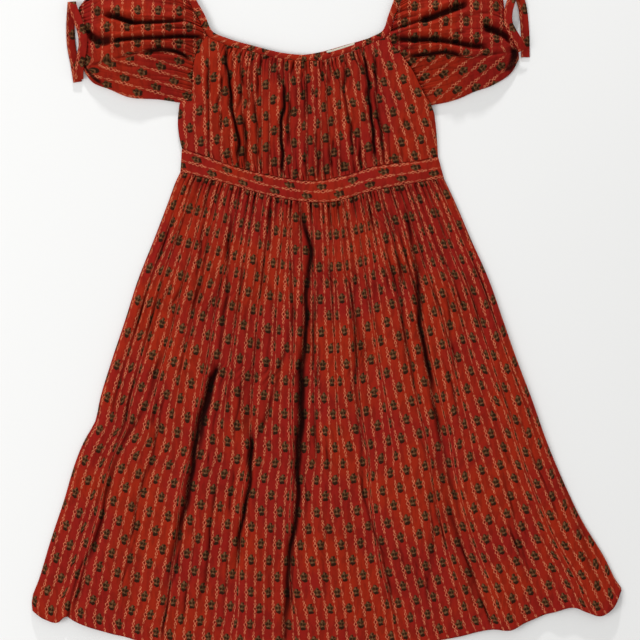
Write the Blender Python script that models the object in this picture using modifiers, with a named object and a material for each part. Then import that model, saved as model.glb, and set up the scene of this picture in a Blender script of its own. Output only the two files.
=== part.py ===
"""Short-sleeved summer dress laid flat: gathered skirt, waistband, gathered
bodice, two puff sleeves with ties, bound neck and a blank label.

Run with: blender --background --python part.py
Metres, +Z up. The dress lies on the plane z = 0 with its front upwards, its
hem towards -Y and its neck towards +Y. All tables are in millimetres.
Every piece of cloth is a wall, made from an outline of four edges that meet
at their corners, and a height that is added up from gathers and folds.
"""
import bpy
import numpy as np

# Named sizes, in millimetres
COLLECTION = "summer_dress"
WALL = 1.2
BACK_WALL = 1.4
SEAM = 0.3
CHORD = 0.2
CENTRE = (0.75, 0.15)
FRONT_FLOOR = BACK_WALL + SEAM
STEEPEST = 2.1

SKIRT_GATHERS = 65
SKIRT_ROWS = 11
SKIRT_GATHER_HEIGHT = 2.9
SKIRT_GATHER_REACH = 115.0
SKIRT_TOP_LEVEL = 7.6
SKIRT_MIDDLE_LEVEL = 12.5
SKIRT_HEM_LEVEL = 9.0
SIDE_ROLL = 26.0

BODICE_GATHERS = 36
BODICE_ROWS = 11
BODICE_EDGE_LEVEL = 7.4
BODICE_MIDDLE_LEVEL = 12.5

BAND_LEVEL = 7.6
BAND_WALL = 1.8
BINDING_LEVEL = 7.8
BINDING_WALL = 1.8

SLEEVE_SECTIONS = 13
SLEEVE_TOP_POINTS = 25
SLEEVE_UNDER_POINTS = 12
SLEEVE_EDGE_RADIUS = 2.4
SLEEVE_GATHER_HEIGHT = 1.5

TIE_WIDTH = 13.5
TIE_WALL = 1.6
LABEL_SIZE = (46.0, 24.0)
LABEL_WALL = 1.0

RED = (0.42, 0.022, 0.012)
CREAM = (0.72, 0.70, 0.55)

# Outlines seen from above. Each row is x, y.
NECK_EDGE = [(-221, 523), (-205, 491), (-191, 466), (-179, 441), (-155, 430), (-117, 419),
             (-61, 406), (-13, 405), (34, 417), (72, 433), (87, 441), (97, 466), (106, 491),
             (119, 523)]
NECK_SEAM_LEFT = [(-189, 435.5), (-201, 460), (-215, 485), (-231, 520)]
NECK_SEAM_FRONT = [(-189, 435.5), (-160, 420.5), (-120, 409.5), (-64, 397), (-13, 395),
                   (37, 408), (75, 424), (97, 434.7)]
NECK_SEAM_RIGHT = [(97, 434.7), (106, 460), (116, 487), (128, 520)]
ARMHOLE_LEFT = [(-189, 435.5), (-198, 420), (-206, 400), (-210, 370), (-211, 347),
                (-215, 335), (-230, 329.2)]
ARMHOLE_RIGHT = [(97, 434.7), (102, 422), (117, 404), (133, 382), (145, 359), (155, 339),
                 (164.6, 325.2)]
SIDE_LEFT = [(-230, 329.2), (-232.5, 318), (-234, 302), (-231, 271), (-227.6, 256.7)]
SIDE_RIGHT = [(164.6, 325.2), (169.5, 312), (171, 302), (174, 271), (175.6, 244.1)]
BAND_TOP = [(-227.6, 256.7), (-202, 249), (-150, 230), (-80, 213), (-15, 206), (24, 213),
            (78, 229), (147, 238), (175.6, 244.1)]
BAND_FOOT = [(-230, 220.5), (-158, 202), (-92, 183), (-35, 173), (12, 173), (64, 188),
             (147, 204), (185, 210.3)]
SKIRT_LEFT = [(-230, 220.5), (-236, 208), (-248, 176), (-272, 113), (-297, 50), (-317, -13),
              (-338, -76), (-357, -139), (-364, -172), (-381, -202), (-394, -233),
              (-413, -296), (-434, -359), (-453, -422), (-464, -454), (-463, -470)]
SKIRT_RIGHT = [(185, 210.3), (201, 176), (228, 113), (256, 50), (278, -13), (300, -76),
               (324, -139), (346, -202), (372, -265), (402, -328), (440, -391), (454, -420),
               (464.5, -438)]
HEM = [(-463, -470), (-430, -486), (-344, -504), (-278, -520), (-152, -532), (-42, -535.5),
       (68, -531), (204, -510), (298, -496), (360, -474), (411, -475), (434, -476),
       (464.5, -438)]

SLEEVE_LEFT_FOOT = [(-230, 329.2), (-262, 334), (-314, 338.6), (-341, 350), (-369, 362),
                    (-383, 381)]
SLEEVE_LEFT_CUFF = [(-383, 381), (-387, 413), (-388, 444), (-389, 478), (-380, 491)]
SLEEVE_LEFT_FOLD = [(-231, 520), (-245, 530), (-278, 535.5), (-338, 526), (-380, 491)]
SLEEVE_RIGHT_FOOT = [(164.6, 325.2), (194, 331), (212, 334), (229, 345), (262, 357),
                     (292, 378), (303, 398)]
SLEEVE_RIGHT_CUFF = [(303, 398), (300, 420), (287, 444), (281, 468), (278, 491)]
SLEEVE_RIGHT_FOLD = [(128, 520), (145, 531), (179, 535.5), (226, 532), (268, 510),
                     (278, 491)]

# Height of the puff along a sleeve: share of the way to the cuff, height
PUFF = [(0.0, 4.5), (0.15, 13.0), (0.4, 24.0), (0.65, 23.0), (0.82, 13.0), (0.92, 7.0),
        (1.0, 6.0)]

# Long folds: the line of the valley, its depth, its reach to the left and right (or
# below and above on a sleeve), and the length over which its ends fade
SKIRT_FOLDS = {
    "left_main": ([(-155, 35), (-152, -63), (-179, -102), (-195, -170), (-215, -265),
                   (-215, -304), (-254, -517)], 8.0, 13, 9, 60),
    "left_inner": ([(-54, -58), (-89, -80), (-119, -191), (-130, -329), (-152, -427)],
                   7.5, 9, 14, 50),
    "centre": ([(-12, 33), (-26, -39), (-42, -143), (-53, -276), (-70, -485)],
               6.0, 10, 9, 60),
    "right_main": ([(133, 134), (136, 71), (158, -76), (195, -260), (231, -375),
                    (269, -469)], 9.0, 10, 15, 60),
    "left_step": ([(-246, -44), (-284, -134), (-325, -225), (-357, -348), (-410, -474)],
                  6.0, 6, 22, 50),
    "centre_right": ([(46, 50), (54, -203), (76, -328), (111, -438)], 4.0, 9, 16, 70),
    "right_inner": ([(116, 50), (122, -69), (136, -184)], 5.0, 9, 9, 60),
    "right_side": ([(346, -202), (379, -280), (410, -370), (442, -443)], 6.0, 14, 7, 50),
}
BODICE_FOLDS = {
    "left_outer": ([(-183, 420), (-183, 345), (-180, 300)], 3.0, 5, 5, 30),
    "left_main": ([(-158, 420), (-150, 309), (-139, 244)], 4.5, 6, 7, 30),
    "left_inner": ([(-132, 361), (-116, 309), (-106, 261)], 3.5, 6, 6, 30),
    "left_neck": ([(-102, 410), (-98, 346)], 3.0, 5, 5, 25),
    "centre": ([(-68, 365), (-70, 225)], 5.0, 5, 7, 30),
    "right_inner": ([(28, 405), (31, 324), (40, 245)], 4.5, 6, 6, 30),
    "right_main": ([(62, 405), (72, 298), (75, 245)], 5.0, 7, 6, 30),
}
SLEEVE_LEFT_FOLDS = {
    "upper": ([(-368, 468), (-330, 463), (-294, 457), (-218, 460)], 13.0, 7, 10, 30),
    "middle": ([(-352, 428), (-314, 426), (-275, 432), (-195, 433)], 12.0, 9, 7, 30),
    "lower": ([(-292, 406), (-254, 412), (-237, 410), (-213, 398)], 10.0, 8, 6, 25),
    "cuff_pit": ([(-395, 440), (-361, 428), (-345, 428)], 12.0, 9, 9, 18),
}
SLEEVE_RIGHT_FOLDS = {
    "upper": ([(100, 443), (124, 450), (179, 465), (226, 484)], 14.0, 8, 8, 30),
    "middle": ([(116, 430), (179, 426), (195, 423), (251, 416)], 12.0, 8, 8, 30),
    "lower": ([(134, 404), (179, 407), (188, 407), (219, 399)], 10.0, 8, 6, 25),
    "cuff_pit": ([(238, 446), (261, 449), (295, 441)], 12.0, 9, 9, 18),
}

# Ties: the middle line of the strap as x, y, z
TIE_LEFT = [(-392, 362, 1.2), (-396, 387, 1.2), (-402, 421, 1.2), (-403, 447, 1.4),
            (-402, 470, 2.4), (-401, 482, 3.8), (-400, 487, 7.4), (-399, 482, 11.0),
            (-395, 470, 13.6), (-388, 452, 15.4), (-383, 435, 16.0), (-382, 417, 15.6),
            (-385, 400, 13.0), (-388, 383, 9.4), (-389, 366, 5.0)]
TIE_RIGHT = [(313, 401, 1.2), (313, 428, 1.2), (311, 460, 1.4), (307, 485, 2.4),
             (300, 502, 3.8), (297, 506, 7.4), (294, 501, 11.2), (289, 486, 14.0),
             (285, 470, 15.8), (285, 453, 16.2), (292, 438, 15.6), (301, 424, 13.0),
             (308, 411, 9.2)]
LABEL_CENTRE = (24.0, 409.5)
LABEL_TURN = 16.0


def smooth_line(points):
    """Line through the points as a function of the share of its length, with each
    piece a cubic whose slopes are the weighted means of its neighbours' slopes."""
    p = np.array(points, dtype=float)
    gap = np.linalg.norm(np.diff(p, axis=0), axis=1)[:, None]
    step = np.diff(p, axis=0) / gap
    slope = np.vstack([step[:1], (gap[:-1] * step[1:] + gap[1:] * step[:-1])
                       / (gap[:-1] + gap[1:]), step[-1:]])
    u = np.linspace(0.0, 1.0, 13)[:, None]
    fine = [p[:1]]
    for i in range(len(gap)):
        a = p[i] * (2 * u**3 - 3 * u**2 + 1) + p[i + 1] * (3 * u**2 - 2 * u**3)
        b = gap[i] * (slope[i] * (u**3 - 2 * u**2 + u) + slope[i + 1] * (u**3 - u**2))
        fine.append((a + b)[1:])
    fine = np.vstack(fine)
    length = np.concatenate([[0.0], np.cumsum(np.linalg.norm(np.diff(fine, axis=0), axis=1))])

    def at(share):
        """Point at a share of the length."""
        want = np.asarray(share, dtype=float) * length[-1]
        return np.stack([np.interp(want, length, fine[:, k]) for k in range(p.shape[1])], -1)

    return at


def stretch_of(line, first, last, x, y):
    """Part of a line between two shares, moved by x and y."""

    def at(share):
        """Point at a share of the stretch."""
        return line(first + (last - first) * np.asarray(share, dtype=float)) + (x, y)

    return at


def share_near(line, point):
    """Share of a line's length where it passes nearest to a point."""
    shares = np.linspace(0, 1, 2001)
    return shares[np.argmin(np.linalg.norm(line(shares) - point, axis=1))]


def four_sided(top, foot, left, right, s, t):
    """Grid of x, y between four edges: the means of opposite edges less the
    mean of the corners. s runs along top and foot, t along left and right."""
    s, t = np.meshgrid(s, t)
    ends = (top([0.0, 1.0]), foot([0.0, 1.0]))
    s3, t3 = s[..., None], t[..., None]
    level = (1 - t3) * top(s) + t3 * foot(s)
    upright = (1 - s3) * left(t) + s3 * right(t)
    corners = ((1 - s3) * (1 - t3) * ends[0][0] + s3 * (1 - t3) * ends[0][1]
               + (1 - s3) * t3 * ends[1][0] + s3 * t3 * ends[1][1])
    grid = level + upright - corners
    return grid[..., 0], grid[..., 1], s, t


def neck_seam():
    """Line where the neck binding is sewn on, with the shares of its two corners."""
    line = smooth_line(NECK_SEAM_LEFT[::-1] + NECK_SEAM_FRONT[1:] + NECK_SEAM_RIGHT[1:])
    return line, share_near(line, NECK_SEAM_FRONT[0]), share_near(line, NECK_SEAM_FRONT[-1])


def moved(points, x, y):
    """The same points, moved by x and y."""
    return [(px + x, py + y) for px, py in points]


def ramp(value, low, high):
    """Smooth step from 0 at low to 1 at high."""
    u = np.clip((value - low) / (high - low), 0.0, 1.0)
    return u * u * (3 - 2 * u)


def valley(x, y, row, along):
    """Height of one fold: a soft trough with a low shoulder on both sides, measured
    across the line of the valley. along is 0 for a line along x and 1 for along y."""
    line, depth, before, after, fade = row
    line = np.array(sorted(line, key=lambda point: point[along]), dtype=float)
    run, side = (x, y) if along == 0 else (y, x)
    off = side - np.interp(run, line[:, along], line[:, 1 - along])
    reach = np.where(off < 0, before, after)
    ends = ramp(run, line[0, along] - 4, line[0, along] + fade) * (
        1 - ramp(run, line[-1, along] - fade, line[-1, along] + 4))
    if along == 1 and line[0, 1] < -420:
        ends = 1 - ramp(run, line[-1, 1] - fade, line[-1, 1] + 4)
    trough = np.exp(-np.abs(off / reach) ** 1.8)
    shoulder = np.exp(-((np.abs(off) - 1.9 * reach) / (0.9 * reach)) ** 2)
    return ends * depth * (0.28 * shoulder - trough)


def thickness(x, y, z, wall):
    """Upright thickness that keeps the wall on a slope, up to the steepest share."""
    steep = np.zeros_like(z)
    for axis in (0, 1):
        rise = np.abs(np.diff(z, axis=axis))
        run = np.hypot(np.diff(x, axis=axis), np.diff(y, axis=axis))
        slope = rise / np.maximum(run, 0.2)
        pad = [(0, 0), (0, 0)]
        pad[axis] = (1, 0)
        steep = np.maximum(steep, np.pad(slope, pad))
        pad[axis] = (0, 1)
        steep = np.maximum(steep, np.pad(slope, pad))
    return wall * np.minimum(np.sqrt(1 + steep**2), STEEPEST)


def add_piece(name, points, faces, colour):
    """Object of the dress from points in millimetres and faces, with its cloth."""
    points = (points - (*CENTRE, 0.0)) * 0.001
    mesh = bpy.data.meshes.new(name)
    mesh.from_pydata(points.tolist(), [], faces.tolist())
    mesh.shade_smooth()
    mesh.update()
    piece = bpy.data.objects.new(name, mesh)
    material = bpy.data.materials.new(name + "_cloth")
    material.use_nodes = True
    shader = material.node_tree.nodes["Principled BSDF"]
    shader.inputs["Base Color"].default_value = (*colour, 1.0)
    shader.inputs["Roughness"].default_value = 0.85
    shader.inputs["Metallic"].default_value = 0.0
    material.diffuse_color = (*colour, 1.0)
    mesh.materials.append(material)
    bpy.data.collections[COLLECTION].objects.link(piece)
    return piece


def grid_faces(index):
    """Four-sided faces between the neighbours of a grid of point numbers."""
    corners = [index[:-1, :-1], index[1:, :-1], index[1:, 1:], index[:-1, 1:]]
    return np.stack(corners, -1).reshape(-1, 4)


def sheet_solid(name, grid, wall, offset, colour):
    """Even sheet: an open surface through a grid of points, thickened by Solidify.
    offset is 1 for a wall above the surface and 0 for a wall on both its sides."""
    rows, columns = grid.shape[:2]
    faces = grid_faces(np.arange(rows * columns).reshape(rows, columns))
    piece = add_piece(name, grid.reshape(-1, 3), faces, colour)
    solidify = piece.modifiers.new("cloth", "SOLIDIFY")
    solidify.thickness = wall * 0.001
    solidify.offset = offset
    return piece


def wall_solid(name, outer, inner, closed, colour):
    """One closed body lofted from two grids of points, with faces on both and a rim
    round them. outer and inner have the shape rows, columns, 3, in millimetres."""
    rows, columns = outer.shape[:2]
    count = rows * columns
    index = np.arange(count).reshape(rows, columns)
    if closed:
        index = np.hstack([index, index[:, :1]])
    skin = grid_faces(index)
    faces = [skin, skin[:, ::-1] + count]
    edges = [index[0][::-1], index[-1]]
    if not closed:
        edges += [index[:, 0], index[::-1, -1]]
    for edge in edges:
        faces.append(np.stack([edge[:-1], edge[:-1] + count, edge[1:] + count, edge[1:]], -1))
    faces = np.vstack(faces)
    points = np.vstack([outer.reshape(-1, 3), inner.reshape(-1, 3)])
    corner = points[faces]
    volume = (np.einsum("ij,ij->i", corner[:, 0], np.cross(corner[:, 1], corner[:, 2])).sum()
              + np.einsum("ij,ij->i", corner[:, 0], np.cross(corner[:, 2], corner[:, 3])).sum())
    if volume < 0:
        faces = faces[:, ::-1]
    return add_piece(name, points, faces, colour)


def raised_panel(name, x, y, z, wall, colour=RED):
    """Panel of the front: a height field with an even wall that clears the back."""
    thick = thickness(x, y, z, wall)
    under = np.maximum(z - thick, FRONT_FLOOR)
    top = np.maximum(z, under + wall)
    return wall_solid(name, np.stack([x, y, top], -1), np.stack([x, y, under], -1),
                      False, colour)


def flat_panel(name, x, y, wall, colour=RED):
    """Panel of the back: a level sheet on the plane z = 0."""
    return sheet_solid(name, np.stack([x, y, np.zeros_like(x)], -1), wall, 1, colour)


def uneven(count, low, high, turn):
    """Row of unequal shares between low and high, without chance."""
    k = np.arange(count)
    wave = 0.5 + 0.5 * np.sin(2.4 * k + turn) * np.cos(1.1 * k + 2 * turn)
    return low + (high - low) * wave


def skirt_edges(shorter):
    """Top, foot, left and right edge of a skirt panel, with its foot raised."""
    top = smooth_line(moved(BAND_FOOT, 0, -SEAM - CHORD))
    foot = smooth_line(moved(HEM, 0, shorter))
    left = smooth_line([tuple(top(0.0))] + SKIRT_LEFT[1:-1] + [tuple(foot(0.0))])
    right = smooth_line([tuple(top(1.0))] + SKIRT_RIGHT[1:-1] + [tuple(foot(1.0))])
    return top, foot, left, right


def skirt_front():
    """Front of the skirt: gathers at the waistband that die out downwards, broad
    waves, long folds, and sides that roll down to the side seams."""
    columns = 2 * SKIRT_GATHERS
    s = np.linspace(0, 1, columns + 1)
    t = np.linspace(0, 1, SKIRT_ROWS + 1) ** 1.25
    top, foot, left, right = skirt_edges(0.0)
    x, y, s, t = four_sided(top, foot, left, right, s, t)
    down = t * 700.0
    width = np.hypot(x[:, -1:] - x[:, :1], y[:, -1:] - y[:, :1])
    edge = np.minimum(s, 1 - s) * width
    level = np.where(t < 0.45,
                     SKIRT_TOP_LEVEL + (SKIRT_MIDDLE_LEVEL - SKIRT_TOP_LEVEL) * ramp(t, 0, 0.45),
                     SKIRT_MIDDLE_LEVEL + (SKIRT_HEM_LEVEL - SKIRT_MIDDLE_LEVEL)
                     * ramp(t, 0.45, 1))
    waves = 1.6 * np.sin(2 * np.pi * (7.2 * s + 0.6 * t)) + 1.1 * np.sin(
        2 * np.pi * (11.7 * s - 0.4 * t + 0.3))
    z = level + waves * ramp(t, 0.1, 0.6)
    for row in SKIRT_FOLDS.values():
        z = z + valley(x, y, row, 1)
    size = uneven(columns + 1, 0.7, 1.15, 0.4)[None, :]
    reach = SKIRT_GATHER_REACH * uneven(columns + 1, 0.6, 1.7, 1.9)[None, :]
    gather = SKIRT_GATHER_HEIGHT * size * np.exp(-down / reach) * ramp(edge, 1, 12)
    sign = np.where(np.arange(columns + 1) % 2, 1.0, -1.0)[None, :]
    z = np.maximum(z, FRONT_FLOOR + WALL + gather * 0.9) + sign * gather
    roll = 1 - (1 - np.clip(edge / SIDE_ROLL, 0, 1)) ** 2
    low = FRONT_FLOOR + WALL
    return raised_panel("skirt_front", x, y, low + (z - low) * np.sqrt(roll), WALL)


def skirt_back():
    """Back of the skirt, level on the ground under the front."""
    x, y, s, t = four_sided(*skirt_edges(3.0), np.linspace(0, 1, 21), np.linspace(0, 1, 11))
    return flat_panel("skirt_back", x, y, BACK_WALL)


def strip(top, foot, columns, rows):
    """Grid of a narrow strip between two lines."""
    s, t = np.meshgrid(np.linspace(0, 1, columns), np.linspace(0, 1, rows))
    a, b = top(s), foot(s)
    grid = a + (b - a) * t[..., None]
    return grid[..., 0], grid[..., 1], s, t


def waistband(side):
    """Waistband, front or back: a strip that is level across its width and
    comes down to the side seams."""
    columns = 21 if side == "back" else SKIRT_GATHERS + 1
    x, y, s, t = strip(smooth_line(BAND_TOP), smooth_line(BAND_FOOT), columns, 3)
    if side == "back":
        return flat_panel("waistband_back", x, y, BACK_WALL)
    width = x[:, -1:] - x[:, :1]
    roll = np.sqrt(1 - (1 - np.clip(np.minimum(s, 1 - s) * width / SIDE_ROLL, 0, 1)) ** 2)
    low = FRONT_FLOOR + BAND_WALL
    z = low + (BAND_LEVEL + 0.5 * np.sin(40 * s + 3 * t) - low) * roll
    return raised_panel("waistband_front", x, y, z, BAND_WALL)


def bodice_grid(columns, rows, inset, aside):
    """Grid of a bodice panel between neck seam, armholes, sides and waistband,
    with its upper edge lowered by inset and its armholes moved in by aside."""
    s = np.linspace(0, 1, columns)
    t = np.linspace(0, 1, rows)
    seam, first, last = neck_seam()
    top = stretch_of(seam, first, last, 0, -inset)
    foot = smooth_line(moved(BAND_TOP, 0, SEAM + CHORD))
    left = smooth_line([tuple(top(0.0))] + moved(ARMHOLE_LEFT[1:-1], aside, 0)
                       + moved(SIDE_LEFT[:1], aside, -aside) + SIDE_LEFT[1:-1]
                       + [tuple(foot(0.0))])
    right = smooth_line([tuple(top(1.0))] + moved(ARMHOLE_RIGHT[1:-1], -aside, 0)
                        + moved(SIDE_RIGHT[:1], -aside, -aside) + SIDE_RIGHT[1:-1]
                        + [tuple(foot(1.0))])
    return four_sided(top, foot, left, right, s, t)


def bodice_front():
    """Front of the bodice, gathered to the neck binding and to the waistband and
    smooth beside the side seams."""
    columns = 2 * BODICE_GATHERS
    x, y, s, t = bodice_grid(columns + 1, BODICE_ROWS + 1, SEAM, 0.7)
    width = np.hypot(x[:, -1:] - x[:, :1], y[:, -1:] - y[:, :1])
    edge = np.minimum(s, 1 - s) * width
    height = 190.0
    middle = np.sin(np.pi * t) ** 0.7
    z = BODICE_EDGE_LEVEL + (BODICE_MIDDLE_LEVEL - BODICE_EDGE_LEVEL) * middle
    for row in BODICE_FOLDS.values():
        z = z + valley(x, y, row, 1)
    full = ramp(s, 0.06, 0.14) * (1 - ramp(s, 0.86, 0.94))
    size = uneven(columns + 1, 0.6, 1.2, 2.2)[None, :]
    gather = size * full * (1.5 * np.exp(-t * height / 34) + 1.7 * np.exp(-(1 - t) * height / 26)
                            + 0.25)
    sign = np.where(np.arange(columns + 1) % 2, 1.0, -1.0)[None, :]
    z = np.maximum(z, FRONT_FLOOR + WALL + gather) + sign * gather
    side = ramp(t, 0.45, 0.75)
    low = FRONT_FLOOR + WALL
    roll = np.sqrt(1 - (1 - np.clip(edge / SIDE_ROLL, 0, 1)) ** 2)
    z = low + (z - low) * (1 - side * (1 - roll))
    return raised_panel("bodice_front", x, y, z, WALL)


def bodice_back():
    """Back of the bodice, level on the ground under the front."""
    x, y, s, t = bodice_grid(21, 15, SEAM + 1.2, 1.4)
    return flat_panel("bodice_back", x, y, BACK_WALL)


def neck_binding(side):
    """Narrow bound edge round the neck, over both sleeves and across the bodice."""
    x, y, s, t = strip(smooth_line(NECK_EDGE), neck_seam()[0], 81, 3)
    if side == "back":
        shade = np.where((s > 0.5) & (s < 0.78), np.sin(np.pi * (s - 0.5) / 0.28), 0.0)
        y = y + shade * 4.5 * (1 - t) - 0.6 * (1 - shade) * (1 - t)
        return flat_panel("neck_binding_back", x, y, BACK_WALL)
    z = BINDING_LEVEL + 0.7 * np.sin(np.pi * t)
    return raised_panel("neck_binding_front", x, y, z, BINDING_WALL)


def sleeve(side):
    """Puff sleeve as one flattened open tube: a level layer on the ground, a puffed
    layer above it, and a round fold along both edges."""
    seam, first, last = neck_seam()
    if side == "left":
        foot, cuff, fold = SLEEVE_LEFT_FOOT, SLEEVE_LEFT_CUFF, SLEEVE_LEFT_FOLD
        armhole, corner, end = ARMHOLE_LEFT, first, 0.0
        folds, turn = SLEEVE_LEFT_FOLDS, -1.0
    else:
        foot, cuff, fold = SLEEVE_RIGHT_FOOT, SLEEVE_RIGHT_CUFF, SLEEVE_RIGHT_FOLD
        armhole, corner, end = ARMHOLE_RIGHT, last, 1.0
        folds, turn = SLEEVE_RIGHT_FOLDS, 1.0
    by_neck = seam(np.linspace(corner, end, 9))
    start = moved(armhole[:0:-1] + [tuple(point) for point in by_neck], turn * 0.9, 0)
    foot = start[:1] + foot[1:]
    fold = start[-1:] + fold[1:]
    share = 0.5 - 0.5 * np.cos(np.linspace(0, np.pi, SLEEVE_TOP_POINTS))
    under = 0.5 - 0.5 * np.cos(np.linspace(np.pi, 2 * np.pi, SLEEVE_UNDER_POINTS + 2))[1:-1]
    ring = np.concatenate([share, under])
    lower = np.arange(len(ring)) >= len(share)
    j = np.linspace(0, 1, SLEEVE_SECTIONS)
    edges = [smooth_line(line) for line in (foot, fold, start, cuff)]
    skins = []
    for inset in (0.0, WALL):
        x, y, along, across = four_sided(*edges, j, ring)
        width = np.hypot(*(edges[1](j) - edges[0](j)).T)[None, :]
        across = inset / width + across * (1 - 2 * inset / width)
        a = np.stack([x, y], -1)
        middle = a[: len(share)].mean(axis=0, keepdims=True)
        a = middle + (a - middle) * (1 - 2 * inset / width)[..., None]
        x, y = a[..., 0], a[..., 1]
        edge = np.minimum(across, 1 - across) * width - inset
        radius = SLEEVE_EDGE_RADIUS - inset
        round_edge = np.sqrt(np.maximum(radius**2 - (radius - np.clip(edge, 0, radius)) ** 2, 0))
        puff = np.interp(along, *np.array(PUFF).T)
        shape = np.sin(np.pi * np.clip(across, 0, 1)) ** 0.75
        height = puff * shape
        for row in folds.values():
            height = height + valley(x, y, row, 0) * shape
        tight = np.exp(-along * 150 / 30) + 0.7 * np.exp(-(1 - along) * 150 / 18)
        sign = np.where(np.arange(len(ring)) % 2, 1.0, -1.0)[:, None]
        height = height + sign * SLEEVE_GATHER_HEIGHT * tight * shape
        height = np.maximum(height, 0.0) * ramp(edge, 0, 3)
        top = SLEEVE_EDGE_RADIUS + round_edge + height
        if inset:
            plain = thickness(x[: len(share)], y[: len(share)], top[: len(share)], WALL) - WALL
            top[: len(share)] -= plain * ramp(edge[: len(share)], 0, 5)
            top = np.maximum(top, SLEEVE_EDGE_RADIUS + round_edge)
        z = np.where(lower[:, None], SLEEVE_EDGE_RADIUS - round_edge, top)
        skins.append(np.stack([x, y, z], -1).transpose(1, 0, 2))
    return wall_solid("sleeve_" + side, skins[0], skins[1], True, RED)


def tie(side):
    """Flat strap that folds back on itself at the top and ends in two tails."""
    line = smooth_line(TIE_LEFT if side == "left" else TIE_RIGHT)
    place = line(np.linspace(0, 1, 45))
    ahead = np.gradient(place, axis=0)
    ahead /= np.linalg.norm(ahead, axis=1)[:, None]
    lean = ahead[:, :2] * np.sign(ahead[:, 1:2])
    flip = np.abs(ahead[:, 1]) < 0.75
    lean[flip] = (0.0, 1.0)
    soft = np.array([np.convolve(lean[:, k], np.ones(5) / 5, "same") for k in (0, 1)]).T
    soft[:2], soft[-2:] = lean[:2], lean[-2:]
    soft /= np.linalg.norm(soft, axis=1)[:, None]
    wide = np.stack([soft[:, 1], -soft[:, 0], np.zeros(len(soft))], -1)
    across = np.linspace(-0.5, 0.5, 3)[None, :, None] * TIE_WIDTH
    return sheet_solid("tie_" + side, place[:, None, :] + wide[:, None, :] * across,
                       TIE_WALL, 0, RED)


def neck_label():
    """Blank label that lies on the back neck and shows above the front neck."""
    u, v = np.meshgrid(np.linspace(-0.5, 0.5, 7) * LABEL_SIZE[0],
                       np.linspace(0.5, -0.5, 4) * LABEL_SIZE[1])
    turn = np.radians(LABEL_TURN)
    x = LABEL_CENTRE[0] + u * np.cos(turn) - v * np.sin(turn)
    y = LABEL_CENTRE[1] + u * np.sin(turn) + v * np.cos(turn)
    low = np.full_like(x, FRONT_FLOOR)
    return sheet_solid("neck_label", np.stack([x, y, low], -1), LABEL_WALL, 1, CREAM)


def build_dress():
    """Clear the scene and make every piece of the dress."""
    for old in list(bpy.data.objects):
        bpy.data.objects.remove(old, do_unlink=True)
    group = bpy.data.collections.new(COLLECTION)
    bpy.context.scene.collection.children.link(group)
    skirt_front()
    skirt_back()
    waistband("front")
    waistband("back")
    bodice_front()
    bodice_back()
    neck_binding("front")
    neck_binding("back")
    sleeve("left")
    sleeve("right")
    tie("left")
    tie("right")
    neck_label()


build_dress()
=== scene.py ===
"""Looks of the summer dress that lies flat: thin printed cloth with its gathers,
folds, creases and sewing, a pale floor, soft light from above the neck and a
camera straight above. All tables are in millimetres, as in the part's source.
"""

import bpy
import numpy as np
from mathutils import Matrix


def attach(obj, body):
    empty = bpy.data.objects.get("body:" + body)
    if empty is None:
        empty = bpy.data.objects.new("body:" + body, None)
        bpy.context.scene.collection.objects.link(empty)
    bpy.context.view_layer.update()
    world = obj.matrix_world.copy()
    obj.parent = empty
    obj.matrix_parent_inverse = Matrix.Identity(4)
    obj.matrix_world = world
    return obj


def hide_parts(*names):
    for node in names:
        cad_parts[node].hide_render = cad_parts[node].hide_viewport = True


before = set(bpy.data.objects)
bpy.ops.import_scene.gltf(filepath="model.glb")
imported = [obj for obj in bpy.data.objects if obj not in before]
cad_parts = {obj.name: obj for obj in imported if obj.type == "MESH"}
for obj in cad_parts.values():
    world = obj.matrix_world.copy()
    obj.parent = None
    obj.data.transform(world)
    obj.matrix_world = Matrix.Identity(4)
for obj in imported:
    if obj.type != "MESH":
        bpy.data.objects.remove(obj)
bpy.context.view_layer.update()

MM = 0.001

# Sizes shared with the solids: gap of a seam, place of the origin in the tables, number
# of gathers, width of the roll to a side seam, top of the backs, round of a sleeve's edge
SEAM = 0.3
CENTRE = (0.75, 0.15)
SKIRT_GATHERS = 65
BODICE_GATHERS = 36
SIDE_ROLL = 26.0
BACK_TOP = 1.4
EDGE_RADIUS = 2.4
TIE_WIDTH = 13.5
TIE_THICK = 1.4
LABEL_SIZE = (46.0, 24.0)
LABEL_CENTRE = (24.0, 409.5)
LABEL_TURN = 16.0

# Sizes as laid: the waistband's width and height, the bodice's height, a sleeve's length,
# and how far the back of the neck shows beyond its front
BAND_WIDE = 415
BAND_TALL = 37
BODICE_TALL = 190.0
SLEEVE_LONG = 150
NECK_BACK = 5.0

# Cuts that the print is laid out on. The binding's is turned on the bias
SKIRT_CUT = (1090.0, 700.0)
BODICE_CUT = (560.0, 235.0)
BAND_CUT = (418, 38)
BINDING_CUT = (620, 10)
BIAS = 0.707

# Thickness of the cloth, the lowest height of a front panel, and the wall and the upper
# side of the pieces that are sewn double
CLOTH = 0.45
FRONT_LOW = BACK_TOP + SEAM + CLOTH
DOUBLE = 0.8
DOUBLE_TOP = 0.9

# Levels of the upper sides: at an edge, and how far they rise and fall from there. The
# skirt rises to a crest at a share of the way down and falls to its foot
SKIRT_LEVEL = (8.6, 3.9, 3.5)
SKIRT_CREST = 0.45
BODICE_LEVEL = (8.4, 3.2)
BAND_LEVEL = (8.2, 0.5)
BINDING_LEVEL = (6.6, 2.0)
LABEL_LEVEL = (2.3, 0.25)

# The print: width of a column and height of a repeat
COLUMN = 16.0
REPEAT = 50.5

# Strips of cloth between creases at the skirt's top, how much wider than it looks a strip
# is, the line of the hem's stitches and the step that it makes
SKIRT_PLEATS = 36
LAID_CLOSE = 1.12
HEM_STITCH = 9.0
STITCH_DEEP = 0.35

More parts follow.
